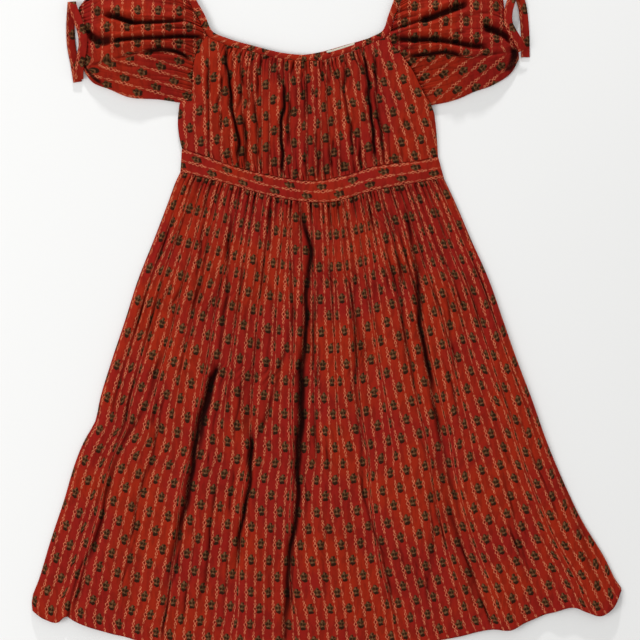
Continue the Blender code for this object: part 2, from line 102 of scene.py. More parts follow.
# Columns worked out on both front panels and how many are kept, points along a strap and
# how many on each side its lean is averaged over
SKIRT_COLUMNS = (1701, 640)
BODICE_COLUMNS = (1201, 540)
TIE_POINTS = 241
TIE_SOFT = 12

# Outlines of the pieces as they lie
NECK_EDGE = [(-221, 523), (-205, 491), (-191, 466), (-179, 441), (-155, 430), (-117, 419),
             (-61, 406), (-13, 405), (34, 417), (72, 433), (87, 441), (97, 466), (106, 491),
             (119, 523)]
NECK_SEAM_LEFT = [(-189, 435.5), (-201, 460), (-215, 485), (-231, 520)]
NECK_SEAM_FRONT = [(-189, 435.5), (-160, 420.5), (-120, 409.5), (-64, 397), (-13, 395),
                   (37, 408), (75, 424), (97, 434.7)]
NECK_SEAM_RIGHT = [(97, 434.7), (106, 460), (116, 487), (128, 520)]
ARMHOLE_LEFT = [(-189, 435.5), (-198, 420), (-206, 400), (-210, 370), (-211, 347),
                (-215, 335), (-230, 329.2)]
ARMHOLE_RIGHT = [(97, 434.7), (102, 422), (117, 404), (133, 382), (145, 359), (155, 339),
                 (164.6, 325.2)]
SIDE_LEFT = [(-230, 329.2), (-232.5, 318), (-234, 302), (-231, 271), (-227.6, 256.7)]
SIDE_RIGHT = [(164.6, 325.2), (169.5, 312), (171, 302), (174, 271), (175.6, 244.1)]
BAND_TOP = [(-227.6, 256.7), (-202, 249), (-150, 230), (-80, 213), (-15, 206), (24, 213),
            (78, 229), (147, 238), (175.6, 244.1)]
BAND_FOOT = [(-230, 220.5), (-158, 202), (-92, 183), (-35, 173), (12, 173), (64, 188),
             (147, 204), (185, 210.3)]
SKIRT_LEFT = [(-230, 220.5), (-236, 208), (-248, 176), (-272, 113), (-297, 50), (-317, -13),
              (-338, -76), (-357, -139), (-364, -172), (-381, -202), (-394, -233),
              (-413, -296), (-434, -359), (-453, -422), (-464, -454), (-463, -470)]
SKIRT_RIGHT = [(185, 210.3), (201, 176), (228, 113), (256, 50), (278, -13), (300, -76),
               (324, -139), (346, -202), (372, -265), (402, -328), (440, -391), (454, -420),
               (464.5, -438)]
HEM = [(-463, -470), (-445, -482), (-422, -488), (-410, -479), (-396, -486), (-344, -504),
       (-278, -520), (-152, -532), (-42, -535.5), (68, -531), (204, -511), (262, -499),
       (289, -500), (313, -488), (355, -473), (391, -465), (409, -472), (431, -478),
       (448, -468), (464.5, -438)]
SLEEVES = {
    "left": {
        "foot": [(-230, 329.2), (-262, 334), (-314, 338.6), (-341, 350), (-369, 362),
                 (-383, 381)],
        "cuff": [(-383, 381), (-387, 413), (-388, 444), (-389, 478), (-380, 491)],
        "fold": [(-231, 520), (-245, 530), (-278, 535.5), (-338, 526), (-380, 491)],
        "armhole": ARMHOLE_LEFT, "turn": -1.0,
    },
    "right": {
        "foot": [(164.6, 325.2), (194, 331), (212, 337), (229, 345), (262, 357),
                 (292, 378), (303, 398)],
        "cuff": [(303, 398), (300, 420), (287, 444), (281, 468), (278, 491)],
        "fold": [(128, 520), (145, 531), (179, 535.5), (226, 532), (268, 510), (278, 491)],
        "armhole": ARMHOLE_RIGHT, "turn": 1.0,
    },
}
# Line below which the print is turned, its fixed point, the turn in degrees, and the
# place from which the change is soft
SLEEVE_GRAIN = {
    "left": ([(-390, 380), (-340, 394), (-292, 406), (-254, 412), (-237, 410), (-213, 398),
              (-195, 385)], (-335, 396), 75.0, -292.0),
    "right": ([(100, 388), (134, 403), (155, 404), (179, 407), (219, 399), (300, 412)],
              (258, 404), -50.0, 215.0),
}
# Height of a sleeve's puff by the share of the way from the armhole to the cuff
PUFF = [(0.0, 5.5), (0.15, 13.0), (0.4, 24.0), (0.65, 23.0), (0.82, 13.0), (0.92, 7.0),
        (1.0, 6.0)]
# Middle line of each strap, x, y and height, from one tail over the fold to the other
TIES = {
    "left": [(-392, 362, 1.2), (-396, 387, 1.2), (-402, 421, 1.2), (-403, 447, 1.4),
             (-402, 470, 2.4), (-401, 482, 3.8), (-400, 487, 7.4), (-399, 482, 11.0),
             (-395, 470, 13.6), (-388, 452, 15.4), (-383, 435, 16.0), (-382, 417, 15.6),
             (-385, 400, 13.0), (-388, 383, 9.4), (-389, 366, 5.0)],
    "right": [(313, 401, 1.2), (313, 428, 1.2), (311, 460, 1.4), (307, 485, 2.4),
              (300, 502, 3.8), (297, 506, 7.4), (294, 501, 11.2), (289, 486, 14.0),
              (285, 470, 15.8), (285, 453, 16.2), (292, 438, 15.6), (301, 424, 13.0),
              (308, 411, 9.2)],
}

# Gathers: how many, the turn of their spacing, then the least and the further depth
# and reach in mm, each with its row of uneven numbers, and the power of the reach
SKIRT_TOP = (SKIRT_GATHERS, 0.7, (4.2, 2.6, 1.0), (10, 46, 2.0, 2))
BODICE_NECK = (BODICE_GATHERS + 8, 1.3, (3.6, 2.8, 3.0), (9, 60, 5.0, 2))
BODICE_WAIST = (BODICE_GATHERS + 8, 2.6, (3.8, 3.0, 4.0), (8, 50, 6.0, 2))
SLEEVE_CROWN = (40, 0.5, (3.2, 3.6, 6.0), (14, 60, 7.0, 1.5))
SLEEVE_CUFF = (20, 1.5, (3.2, 3.6, 6.0), (14, 60, 7.0, 1.5))

# Short creases of a panel: how many, their row of uneven numbers, and their sizes
SKIRT_SMALL = (60, 20.0, (0.05, 0.26, 1.8, 4.2, 25))
BODICE_SMALL = (40, 30.0, (0.08, 0.30, 2.2, 5.0, 10))

# Where the skirt's longer creases and its main folds stand, as shares of its width
SKIRT_CREASES = [0.0, 0.035, 0.07, 0.125, 0.175, 0.23, 0.29, 0.348, 0.395, 0.44, 0.495, 0.55,
                 0.605, 0.66, 0.735, 0.785, 0.835, 0.885, 0.935, 0.975, 1.0]
SKIRT_MAIN = [0.0, 0.075, 0.228, 0.348, 0.445, 0.605, 0.735, 0.785, 0.93, 1.0]

# Folds: the line of the valley, its depth, its reach to the left (or below) and to the
# right (or above), the lengths over which its two ends fade, and how strongly painted
# shade darkens the cloth in it. The first end is the lower one, or the left one.
SKIRT_FOLDS = [
    ([(-251, -506), (-242, -386), (-218, -296), (-212, -247), (-206, -211), (-192, -156),
      (-181, -112), (-174, -91), (-168, -80)], 10.0, 5.5, 5, 240, 8, 1.0),
    ([(-207, -262), (-199, -200), (-190, -150), (-183, -112), (-178, -92)], 5.0, 8, 8, 90, 6,
     1.0),
    ([(-46, -290), (-43, -220), (-40, -150), (-36, -50)], 4.0, 7, 7, 70, 40, 1.0),
    ([(-124, -250), (-119, -228), (-118, -205)], 4.0, 7, 6, 25, 12, 1.0),
    ([(-166, -79), (-163, -25), (-154, 79), (-152, 129), (-152, 189)], 5.0, 3, 4, 30, 60, 0.75),
    ([(-147, -430), (-136, -359), (-128, -307), (-119, -244), (-117, -217), (-117, -180)],
     8.0, 3.5, 4, 90, 25, 1.0),
    ([(-110, -209), (-91, -150), (-72, -91), (-57, -26), (-54, 50), (-58, 120)],
     4.5, 3, 4, 30, 90, 0.6),
    ([(-65, -560), (-62, -433), (-46, -296), (-42, -159), (-37, -83), (-35, -57), (-28, 55),
      (-24, 82), (-32, 121), (-46, 184)], 9.0, 4.5, 5, 130, 60, 1.0),
    ([(-32, -83), (-20, -13), (-8, 50), (-2, 96)], 3.5, 3, 3, 20, 60, 0.5),
    ([(262, -465), (242, -417), (221, -348), (195, -276), (179, -191), (163, -115),
      (147, -16), (138, 82), (125, 176)], 7.5, 3.5, 5, 330, 40, 0.88),
    ([(172, -160), (162, -105), (151, -40), (144, 30), (139, 90)], 3.0, 4.5, 5, 70, 50, 1.0),
    ([(244, -480), (226, -420), (205, -345), (182, -262), (168, -195)], 5.0, 9, 7, 40, 40,
     0.4),
    ([(124, -99), (124, -55), (116, 43), (109, 102), (103, 169)], 5.0, 3, 4, 50, 30, 0.7),
    ([(57, -244), (48, -139), (45, 24), (46, 94)], 4.5, 2.5, 4, 90, 60, 0.55),
    ([(-409, -500), (-388, -433), (-360, -348), (-321, -206), (-275, -131), (-270, -93),
      (-246, -44)], 5.0, 3, 7, 70, 50, 0.5),
    ([(442, -470), (410, -370), (379, -280), (346, -202)], 4.5, 8, 4, 60, 60, 0.25),
    ([(-207, -36), (-206, 43), (-196, 102), (-190, 189)], 4.5, 2.5, 3, 40, 30, 0.6),
    ([(-204, -6), (-202, 50)], 2.5, 2.5, 2.5, 20, 20, 0.4),
    ([(-183, -94), (-180, -63)], 5.0, 2.5, 3, 12, 16, 0.7),
    ([(-137, -175), (-133, -140), (-132, -102)], 3.0, 3, 3, 30, 25, 0.4),
    ([(-121, -209), (-125, -178), (-117, -102), (-116, -60)], 5.0, 9, 7, 30, 40, 0.4),
    ([(-204, 153), (-209, 181)], 4.5, 2.5, 2.5, 20, 8, 0.6),
    ([(-87, 90), (-91, 121), (-89, 169)], 6.0, 3, 3.5, 25, 20, 0.9),
    ([(-87, -5), (-86, 19), (-87, 43)], 5.0, 3, 3, 20, 22, 0.7),
    ([(29, 102), (39, 165)], 3.5, 2.5, 3, 30, 15, 0.5),
    ([(72, 121), (70, 169)], 5.0, 2.5, 2.5, 25, 10, 0.7),
    ([(100, 90), (94, 154)], 4.0, 2.5, 3, 30, 20, 0.5),
    ([(226, 106), (213, 129), (202, 150)], 4.0, 4, 3, 20, 15, 0.5),
    ([(-109, -71), (-108, -36)], 5.0, 4, 4, 20, 15, 0.7),
    ([(160, -474), (160, -402), (166, -364)], 4.5, 3, 4, 40, 25, 0.6),
    ([(-244, -6), (-240, 13), (-221, 50)], 3.0, 3, 3, 20, 20, 0.35),
    ([(-90, -480), (-88, -400), (-84, -330)], 3.5, 5, 6, 60, 60, 0.2),
    ([(20, -470), (14, -380), (10, -300)], 3.0, 6, 5, 50, 60, 0.15),
    ([(100, -500), (96, -420), (88, -350)], 3.5, 6, 6, 60, 50, 0.2),
    ([(330, -470), (310, -400), (292, -330)], 3.0, 7, 7, 50, 50, 0.15),
    ([(-310, -480), (-300, -420), (-285, -350)], 3.0, 7, 6, 50, 50, 0.15),
    ([(-200, -500), (-192, -430), (-180, -380)], 3.0, 5, 6, 50, 40, 0.2),
    ([(250, -60), (230, 20), (212, 90)], 3.0, 6, 5, 70, 50, 0.25),
    ([(80, -60), (78, 20), (76, 90)], 3.0, 3, 4, 50, 50, 0.35),
    ([(-262, -518), (-243, -430), (-231, -367), (-222, -310)], 4.0, 2, 2.5, 20, 40, 0.85),
    ([(-65, -530), (-61, -485), (-53, -406), (-48, -300)], 4.5, 2, 2.5, 10, 60, 0.9),
    ([(262, -495), (250, -469), (215, -375), (190, -290)], 4.5, 2, 2.5, 15, 60, 0.85),
    ([(158, -440), (167, -375), (159, -249)], 3.5, 2, 2.5, 40, 60, 0.6),
    ([(110, -500), (100, -430), (61, -296), (53, -170)], 3.5, 2, 2.5, 30, 60, 0.7),
    ([(-409, -482), (-396, -430), (-365, -359), (-349, -304), (-318, -204)], 3.5, 2, 2.5, 5,
     70, 0.7),
    ([(-212, -406), (-207, -327)], 3.0, 2, 2, 30, 30, 0.5),
    ([(0, -470), (-4, -380), (2, -260)], 3.0, 2, 2, 50, 60, 0.4),
    ([(330, -440), (296, -330), (268, -220)], 3.0, 2, 2, 50, 60, 0.45),
    ([(-330, -470), (-312, -400), (-290, -310)], 3.0, 2, 2, 40, 60, 0.4),
    ([(-160, -500), (-158, -420), (-150, -330)], 3.0, 2, 2, 40, 60, 0.4),
    ([(204, -130), (196, -30), (180, 90)], 3.5, 2, 2.5, 60, 50, 0.55),
    ([(-300, -110), (-270, -20), (-240, 60)], 3.0, 2, 2, 50, 50, 0.4),
]
BODICE_FOLDS = [
    ([(-185, 323), (-187, 365), (-185, 405)], 4.5, 2.5, 3, 25, 20, 0.8),
    ([(-138, 235), (-141, 284), (-149, 323), (-155, 376), (-158, 419)], 6.5, 3, 3.5, 20, 20,
     0.95),
    ([(-128, 346), (-135, 375)], 4.0, 3, 3, 15, 15, 0.6),
    ([(-102, 365), (-103, 403)], 4.5, 2.5, 3, 20, 12, 0.7),
    ([(-108, 250), (-109, 302), (-117, 345)], 5.0, 2.5, 3, 20, 25, 0.7),
    ([(-70, 215), (-70, 302), (-67, 337), (-67, 368)], 7.0, 3, 3.5, 15, 25, 1.0),
    ([(-53, 245), (-59, 291), (-59, 345)], 5.5, 2.5, 3.5, 25, 25, 0.75),
    ([(6, 222), (6, 258), (1, 312)], 5.0, 3, 3, 15, 35, 0.7),
    ([(45, 235), (40, 271), (32, 323), (28, 354), (31, 392)], 5.5, 3, 3, 25, 20, 0.8),
    ([(78, 235), (72, 282), (70, 318), (64, 362), (59, 408)], 7.0, 3, 3.5, 20, 20, 1.0),
    ([(89, 246), (84, 282), (78, 342), (76, 412)], 5.5, 2.5, 3, 25, 20, 0.8),
    ([(54, 226), (53, 275)], 4.5, 3, 3, 12, 22, 0.6),
    ([(-13, 208), (-15, 255)], 4.5, 3, 3, 10, 22, 0.6),
    ([(-127, 228), (-128, 279), (-133, 325)], 4.5, 3, 3, 15, 30, 0.6),
    ([(-30, 330), (-32, 372), (-34, 396)], 3.5, 2.5, 3, 30, 12, 0.5),
    ([(-8, 340), (-6, 395)], 3.0, 2.5, 3, 30, 12, 0.4),
    ([(-90, 224), (-90, 262)], 4.0, 2.5, 2.5, 10, 20, 0.5),
    ([(-30, 208), (-34, 240)], 4.0, 2.5, 2.5, 10, 18, 0.5),
    ([(24, 215), (22, 250)], 4.0, 2.5, 2.5, 10, 18, 0.5),
]
SLEEVE_FOLDS = {
    "left": [
        ([(-348, 466), (-330, 462), (-310, 455), (-292, 452)], 17.0, 5, 6, 12, 15, 1.0),
        ([(-306, 453), (-276, 453), (-250, 455), (-216, 459)], 11.0, 3.5, 4, 10, 18, 0.95),
        ([(-372, 470), (-355, 469), (-338, 464)], 7.0, 4, 4, 14, 8, 0.6),
        ([(-340, 424), (-327, 426), (-305, 428), (-254, 431), (-230, 433), (-192, 433)],
         14.0, 4, 3.5, 12, 12, 1.0),
        ([(-292, 406), (-254, 412), (-237, 410), (-213, 398)], 12.0, 5, 4, 18, 10, 1.0),
        ([(-376, 437), (-364, 430), (-352, 425), (-336, 427)], 14.0, 9, 9, 6, 6, 1.0),
        ([(-392, 447), (-380, 442), (-366, 432)], 8.0, 4, 4, 5, 8, 0.9),
        ([(-384, 392), (-371, 374), (-363, 366), (-352, 360)], 5.0, 4, 4, 4, 6, 1.0),
        ([(-240, 470), (-215, 476), (-200, 470)], 5.0, 3, 3, 15, 6, 0.7),
        ([(-262, 444), (-225, 445), (-195, 441)], 4.0, 2.5, 2.5, 20, 6, 0.6),
        ([(-245, 420), (-216, 424), (-198, 424)], 4.0, 2.5, 2.5, 15, 6, 0.6),
        ([(-300, 492), (-262, 484), (-225, 482)], 4.0, 4, 4, 30, 20, 0.3),
        ([(-372, 388), (-335, 396), (-292, 406)], 3.5, 3, 3, 12, 6, 0.6),
        ([(-348, 400), (-322, 388), (-296, 384)], 2.5, 3, 3, 10, 12, 0.35),
        ([(-330, 372), (-300, 368), (-262, 370)], 2.0, 3, 3, 12, 20, 0.25),
    ],
    "right": [
        ([(96, 441), (124, 450), (158, 460)], 10.0, 3, 3, 8, 8, 0.9),
        ([(146, 456), (163, 461), (190, 471), (222, 483)], 18.0, 6.5, 6.5, 10, 8, 1.0),
        ([(108, 430), (133, 428), (179, 426), (195, 423), (232, 417), (254, 416)],
         15.0, 5, 5, 10, 14, 1.0),
        ([(131, 403), (155, 404), (179, 407), (188, 407), (219, 399)], 12.0, 4, 4, 8, 16, 1.0),
        ([(244, 446), (262, 443), (276, 438), (288, 430)], 14.0, 9, 7, 8, 5, 1.0),
        ([(284, 378), (291, 390), (295, 402), (294, 417)], 6.0, 8, 8, 4, 6, 1.0),
        ([(100, 470), (125, 474), (160, 478)], 5.0, 3, 3, 6, 20, 0.7),
        ([(104, 458), (128, 463), (150, 464)], 4.0, 2.5, 2.5, 6, 15, 0.6),
        ([(176, 434), (200, 435), (222, 437)], 4.0, 3, 3, 15, 15, 0.5),
        ([(112, 420), (130, 414), (150, 414)], 4.0, 2.5, 2.5, 6, 12, 0.5),
        ([(216, 399), (258, 404), (298, 412)], 3.0, 3, 3, 8, 12, 0.5),
        ([(160, 386), (190, 384), (224, 374)], 2.5, 3, 3, 8, 14, 0.35),
        ([(205, 460), (238, 466), (262, 470)], 2.5, 3, 3, 12, 10, 0.35),
    ],
}


def smooth_line(points):
    """Line through the points as a function of the share of its length, with each
    piece a cubic whose slopes are the weighted means of its neighbours' slopes."""
    p = np.array(points, dtype=float)
    gap = np.linalg.norm(np.diff(p, axis=0), axis=1)[:, None]
    step = np.diff(p, axis=0) / gap
    slope = np.vstack([step[:1], (gap[:-1] * step[1:] + gap[1:] * step[:-1])
                       / (gap[:-1] + gap[1:]), step[-1:]])
    u = np.linspace(0.0, 1.0, 13)[:, None]
    fine = [p[:1]]
    for i in range(len(gap)):
        a = p[i] * (2 * u**3 - 3 * u**2 + 1) + p[i + 1] * (3 * u**2 - 2 * u**3)
        b = gap[i] * (slope[i] * (u**3 - 2 * u**2 + u) + slope[i + 1] * (u**3 - u**2))
        fine.append((a + b)[1:])
    fine = np.vstack(fine)
    length = np.concatenate([[0.0], np.cumsum(np.linalg.norm(np.diff(fine, axis=0), axis=1))])

    def at(share):
        """Point at a share of the length."""
        want = np.asarray(share, dtype=float) * length[-1]
        return np.stack([np.interp(want, length, fine[:, k]) for k in range(p.shape[1])], -1)

    return at


def share_near(line, point):
    """Share of a line's length where it passes nearest to a point."""
    shares = np.linspace(0, 1, 2001)
    return shares[np.argmin(np.linalg.norm(line(shares) - point, axis=1))]


def four_sided(top, foot, left, right, s, t):
    """Grid of x, y between four edges: the means of opposite edges less the
    mean of the corners. s runs along top and foot, t along left and right."""
    if np.ndim(s) == 1:
        s, t = np.meshgrid(s, t)
    ends = (top([0.0, 1.0]), foot([0.0, 1.0]))
    s3, t3 = s[..., None], t[..., None]
    level = (1 - t3) * top(s) + t3 * foot(s)
    upright = (1 - s3) * left(t) + s3 * right(t)
    corners = ((1 - s3) * (1 - t3) * ends[0][0] + s3 * (1 - t3) * ends[0][1]
               + (1 - s3) * t3 * ends[1][0] + s3 * t3 * ends[1][1])
    grid = level + upright - corners
    return grid[..., 0], grid[..., 1], s, t


def neck_seam():
    """Line where the neck binding is sewn on, with the shares of its two corners."""
    line = smooth_line(NECK_SEAM_LEFT[::-1] + NECK_SEAM_FRONT[1:] + NECK_SEAM_RIGHT[1:])
    return line, share_near(line, NECK_SEAM_FRONT[0]), share_near(line, NECK_SEAM_FRONT[-1])


def moved(points, x, y):
    """The same points, moved by x and y."""
    return [(px + x, py + y) for px, py in points]


def ramp(value, low, high):
    """Smooth step from 0 at low to 1 at high."""
    u = np.clip((value - low) / (high - low), 0.0, 1.0)
    return u * u * (3 - 2 * u)


def scatter(count, turn):
    """Row of uneven numbers from 0 to 1, the same on every run: the fraction of a
    sine of the place times a large number. Another turn gives another row."""
    return np.mod(np.sin((np.arange(count) + 1) * 12.9898 + turn * 78.233) * 43758.5453, 1.0)


def joined(*stretches):
    """Even steps through stretches that follow one another: first, last and number."""
    steps = [np.linspace(*stretch) for stretch in stretches]
    return np.concatenate(steps[:1] + [step[1:] for step in steps[1:]])


def wave(s, t, across, down, start=0.0):
    """Sine that turns so many times across and down a panel."""
    return np.sin(2 * np.pi * (across * s + down * t + start))


def to_sides(x, y, s):
    """Width of a panel at each row, and the way to its nearer side in mm."""
    width = np.hypot(x[:, -1:] - x[:, :1], y[:, -1:] - y[:, :1])
    return width, np.minimum(s, 1 - s) * width


def side_roll(edge):
    """Share of the full height beside a seam: a quarter circle over SIDE_ROLL mm."""
    return np.sqrt(1 - (1 - np.clip(edge / SIDE_ROLL, 0, 1)) ** 2)


def valley(x, y, row):
    """Height of one fold and the painted shade that darkens the cloth in it. The trough is
    depth * exp(-|off / reach| ** 1.7) across the line, with a low shoulder on both
    sides. It fades towards both ends of the line, and swells and fades between them as
    a sine, less in the folds with the strongest painted shade."""
    line, depth, before, after, first_fade, last_fade, shade_strength = row
    line = np.array(line, dtype=float)
    along = int(np.ptp(line[:, 1]) > np.ptp(line[:, 0]))
    run, side = (x, y) if along == 0 else (y, x)
    smooth = smooth_line(line)(np.linspace(0, 1, 80))
    order = np.argsort(smooth[:, along])
    off = side - np.interp(run, smooth[order, along], smooth[order, 1 - along])
    reach = np.where(off < 0, before, after)
    first, last = line[0, along], line[-1, along]
    ends = ramp(run, first - 3, first + first_fade) * (1 - ramp(run, last - last_fade, last + 3))
    swell = 0.04 if shade_strength > 0.9 else 0.22
    ends = ends * (1 - swell + swell * np.sin(run / (9.0 + depth) + 1.7 * line[0, 1 - along]))
    trough = np.exp(-np.abs(off / reach) ** 1.7)
    shoulder = np.exp(-((np.abs(off) - 1.9 * reach) / (0.9 * reach)) ** 2)
    wide, steep = (0.85, 4.0) if shade_strength > 0.9 else (0.72, 2.4)
    # Painted shade that darkens the cloth along the middle of the fold
    fold_shade = shade_strength * ends * np.exp(-np.abs(off / (wide * reach)) ** steep)
    return ends * depth * (0.28 * shoulder - trough), fold_shade


def fold_all(x, y, rows):
    """Heights of all folds together, and the darkest painted shade at each place."""
    height, fold_shade = np.zeros_like(x), np.zeros_like(x)
    for row in rows:
        rise, shade_strength = valley(x, y, row)
        height, fold_shade = height + rise, np.maximum(fold_shade, shade_strength)
    return height, fold_shade


def small_creases(point_at, count, turn, sizes):
    """Rows of short upright creases at uneven places. point_at(across, up) is a point
    at two shares of the panel. sizes holds the least and the most share of its height
    that a crease is long, its least and most depth, and the mm over which it fades."""
    short, long, shallow, deep, fade = sizes
    rows = []
    for a, b, c, d in zip(*[scatter(count, turn + k) for k in range(4)]):
        share = short + (long - short) * c * c
        low = 0.04 + (0.92 - share) * b
        high = low + share
        line = [point_at(0.05 + 0.9 * a, up) for up in (low, (low + high) / 2, high)]
        # The last number of each row is how strongly painted shade darkens the crease
        rows.append((line, shallow + (deep - shallow) * d, 1.8 + 0.8 * c, 2.6 - 0.8 * c,
                     fade, fade, 0.35 + 0.5 * d))
    return rows


def stand(name, data, place=(0, 0, 0), turn=(0, 0, 0)):
    """Object of a mesh, a lamp or a camera, put into the scene."""
    thing = bpy.data.objects.new(name, data)
    thing.location = place
    thing.rotation_euler = turn
    bpy.context.scene.collection.objects.link(thing)
    return thing


def grid_faces(index):
    """Four-sided faces between the neighbours of a grid of point numbers."""
    corners = [index[:-1, :-1], index[1:, :-1], index[1:, 1:], index[:-1, 1:]]
    return np.stack(corners, -1).reshape(-1, 4)


def cloth_shell(name, outer, inner, uv, fold_shade=None, closed=False):
    """Closed thin shell between two grids of points, with faces on both and a rim.
    uv holds the place on the flat cloth in metres, and fold_shade the painted shade that
    darkens the cloth in the folds. The ring closes if asked."""
    rows, columns = outer.shape[:2]
    count = rows * columns
    index = np.arange(count).reshape(rows, columns)
    if closed:
        index = np.hstack([index, index[:, :1]])
    skin = grid_faces(index)
    faces = [skin, skin[:, ::-1] + count]
    edges = [index[0][::-1], index[-1]]
    if not closed:
        edges += [index[:, 0], index[::-1, -1]]
    for edge in edges:
        faces.append(np.stack([edge[:-1], edge[:-1] + count, edge[1:] + count, edge[1:]], -1))
    faces = np.vstack(faces)
    points = np.vstack([outer.reshape(-1, 3), inner.reshape(-1, 3)])
    points = (points - (*CENTRE, 0.0)) * MM
    corner = points[faces]
    volume = (np.einsum("ij,ij->i", corner[:, 0], np.cross(corner[:, 1], corner[:, 2])).sum()
              + np.einsum("ij,ij->i", corner[:, 0], np.cross(corner[:, 2], corner[:, 3])).sum())
    if volume < 0:
        faces = faces[:, ::-1]
    mesh = bpy.data.meshes.new(name)
    mesh.vertices.add(len(points))
    mesh.vertices.foreach_set("co", points.astype(np.float32).ravel())
    mesh.loops.add(faces.size)
    mesh.loops.foreach_set("vertex_index", faces.astype(np.int32).ravel())
    mesh.polygons.add(len(faces))
    mesh.polygons.foreach_set("loop_start", np.arange(0, faces.size, 4, dtype=np.int32))
    mesh.update(calc_edges=True)
    mesh.validate()
    both = np.vstack([uv.reshape(-1, 2), uv.reshape(-1, 2)])
    layer = mesh.uv_layers.new(name="cloth")
    order = np.empty(len(mesh.loops), dtype=np.int32)
    mesh.loops.foreach_get("vertex_index", order)
    layer.data.foreach_set("uv", both[order].astype(np.float32).ravel())
    # Attribute of painted shade in the folds, which the cloth's colour is darkened by
    deep = mesh.attributes.new("fold_shade", "FLOAT", "POINT")
    fold_shade = np.zeros(outer.shape[:2]) if fold_shade is None else fold_shade
    deep.data.foreach_set("value", np.tile(fold_shade.ravel(), 2).astype(np.float32))
    mesh.shade_smooth()
    return stand(name, mesh)


def level_shell(name, x, y, z, uv):
    """Thin shell whose lower side is straight below its upper side z."""
    return cloth_shell(name, np.stack([x, y, z], -1), np.stack([x, y, z - CLOTH], -1), uv)


def height_shell(name, x, y, z, uv, fold_shade=None, wall=CLOTH):
    """Thin shell whose upper side has the height z over x, y. Its lower side lies a
    wall's thickness along the normal, the cross product of the grid's directions."""
    outer = np.stack([x, y, z], -1)
    normal = np.cross(np.gradient(outer, axis=1), np.gradient(outer, axis=0))
    normal /= np.maximum(np.linalg.norm(normal, axis=-1, keepdims=True), 1e-9)
    normal *= np.where(normal[..., 2:] < 0, -1.0, 1.0)
    return cloth_shell(name, outer, outer - wall * normal, uv, fold_shade)


def soften(t, grid, reach):
    """Each column's values blended with their neighbours down the cloth, under a bell
    exp(-(distance / reach) ** 2)."""
    weight = np.exp(-((t[:, None] - t[None, :]) / reach) ** 2) * np.gradient(t)[None, :]
    return (weight / weight.sum(axis=1, keepdims=True)) @ grid


def crowd(x, y, z, fold_shade, cloth, down, columns):
    """The same surface with fewer columns, which stand close together in the folds."""
    plan = np.hypot(np.diff(x, axis=1), np.diff(y, axis=1))
    deep = 0.5 * (fold_shade[:, 1:] + fold_shade[:, :-1])
    weight = plan * (1 + 2.0 * deep) + 0.35 * np.abs(np.diff(z, axis=1))
    dense = np.pad(np.cumsum(weight, axis=1), ((0, 0), (1, 0)))
    dense = soften(down, dense / dense[:, -1:], 12.0)
    share = np.linspace(0, 1, columns)
    return [np.array([np.interp(share, d, row) for d, row in zip(dense, grid)])
            for grid in (x, y, z, fold_shade, cloth)]


def uneven(count, turn):
    """Borders of count strips of uneven width, as shares from 0 to 1."""
    ends = np.concatenate([[0.0], np.cumsum(0.45 + 1.1 * scatter(count, turn))])
    return ends / ends[-1]


def pleats(s, width, cut, borders, stray=0.0):
    """Cloth in strips with a crease between each two. A strip of c mm of cloth shows
    only w mm. Its middle lies at full size, and the rest turns into the creases:
    place = w * f + (c - w) * 0.5 * sign(f) * |2 f| ** n, with f from -0.5 to 0.5 over
    the strip and n the larger of 9 and w / 3.5. As the cloth is never quite level, w is
    LAID_CLOSE times the width seen. Each strip strays to a side by up to half of stray,
    and two neighbours meet halfway. Returns that place, the distance to the nearest
    crease and its number."""
    borders = np.asarray(borders)
    strip = np.interp(s, borders, np.arange(len(borders)))
    number = np.clip(np.floor(strip), 0, len(borders) - 2).astype(int)
    f = strip - number - 0.5
    share = np.diff(borders)[number]
    c = share * cut
    w = np.minimum(share * width * LAID_CLOSE, c)
    bend = np.abs(2 * f) ** np.maximum(9, w / 3.5)
    own = stray * (scatter(len(borders) + 1, 40.0) - 0.5)
    other = own[number + np.where(f > 0, 2, 0)]
    own = own[number + 1]
    place = borders[number] * cut + c / 2 + w * f + (c - w) * 0.5 * np.sign(f) * bend
    place = place + own + 0.5 * (other - own) * bend
    return place, (0.5 - np.abs(f)) * share * width, np.round(strip).astype(int)


def crease(depth, off, down, number):
    """Trough of thin creases, exp(-(off / 2) ** 1.4) with a low shoulder beside it,
    and the painted shade that darkens the cloth in it. The depth of each swells and fades
    along it as 0.6 + 0.4 * sine."""
    depth = depth * (0.6 + 0.4 * np.sin(down / (14.0 + 5.0 * (number % 4)) + 2.4 * number))
    trough = np.exp(-(off / 2.0) ** 1.4) - 0.3 * np.exp(-((off - 5) / 2.6) ** 2)
    return depth * trough, 0.17 * depth * np.exp(-(off / 1.4) ** 2)


def gathers(s, row, down, low=1.0, short=1.0):
    """Valleys between gathers: how far the cloth sinks at each place, and the painted
    shade that darkens it there. Each valley has its own depth and dies out over its own
    reach down the cloth, times low and short. Across, it falls as 1 - |sin| ** 0.6, so
    ridges are round and valleys narrow. The spacing is uneven."""
    count, turn, (least, more, depth_row), (near, further, reach_row, power) = row
    tall = low * (least + more * scatter(count + 1, depth_row))
    reach = short * (near + further * scatter(count + 1, reach_row) ** power)
    place = s + 0.0045 * np.sin(2 * np.pi * 7 * s + turn) + 0.003 * np.sin(
        2 * np.pi * 17 * s + 2.1 * turn)
    number = np.clip(np.round(place * count).astype(int), 0, count)
    groove = 1 - np.abs(np.sin(np.pi * place * count)) ** 0.6
    depth = tall[number] * np.exp(-np.maximum(down, 0) / reach[number])
    return depth * groove, 0.17 * depth * groove**2


def side_line(top, foot, share, points):
    """Side of a panel, from a share of its top through points to the same of its foot."""
    return smooth_line([tuple(top(share))] + points + [tuple(foot(share))])


def skirt_edges(shorter):
    """Top, foot, left and right edge of a skirt panel that is so many mm shorter."""
    top = smooth_line(moved(BAND_FOOT, 0, -SEAM))
    foot = smooth_line(moved(HEM, 0, shorter))
    return (top, foot, side_line(top, foot, 0.0, SKIRT_LEFT[1:-1]),
            side_line(top, foot, 1.0, SKIRT_RIGHT[1:-1]))


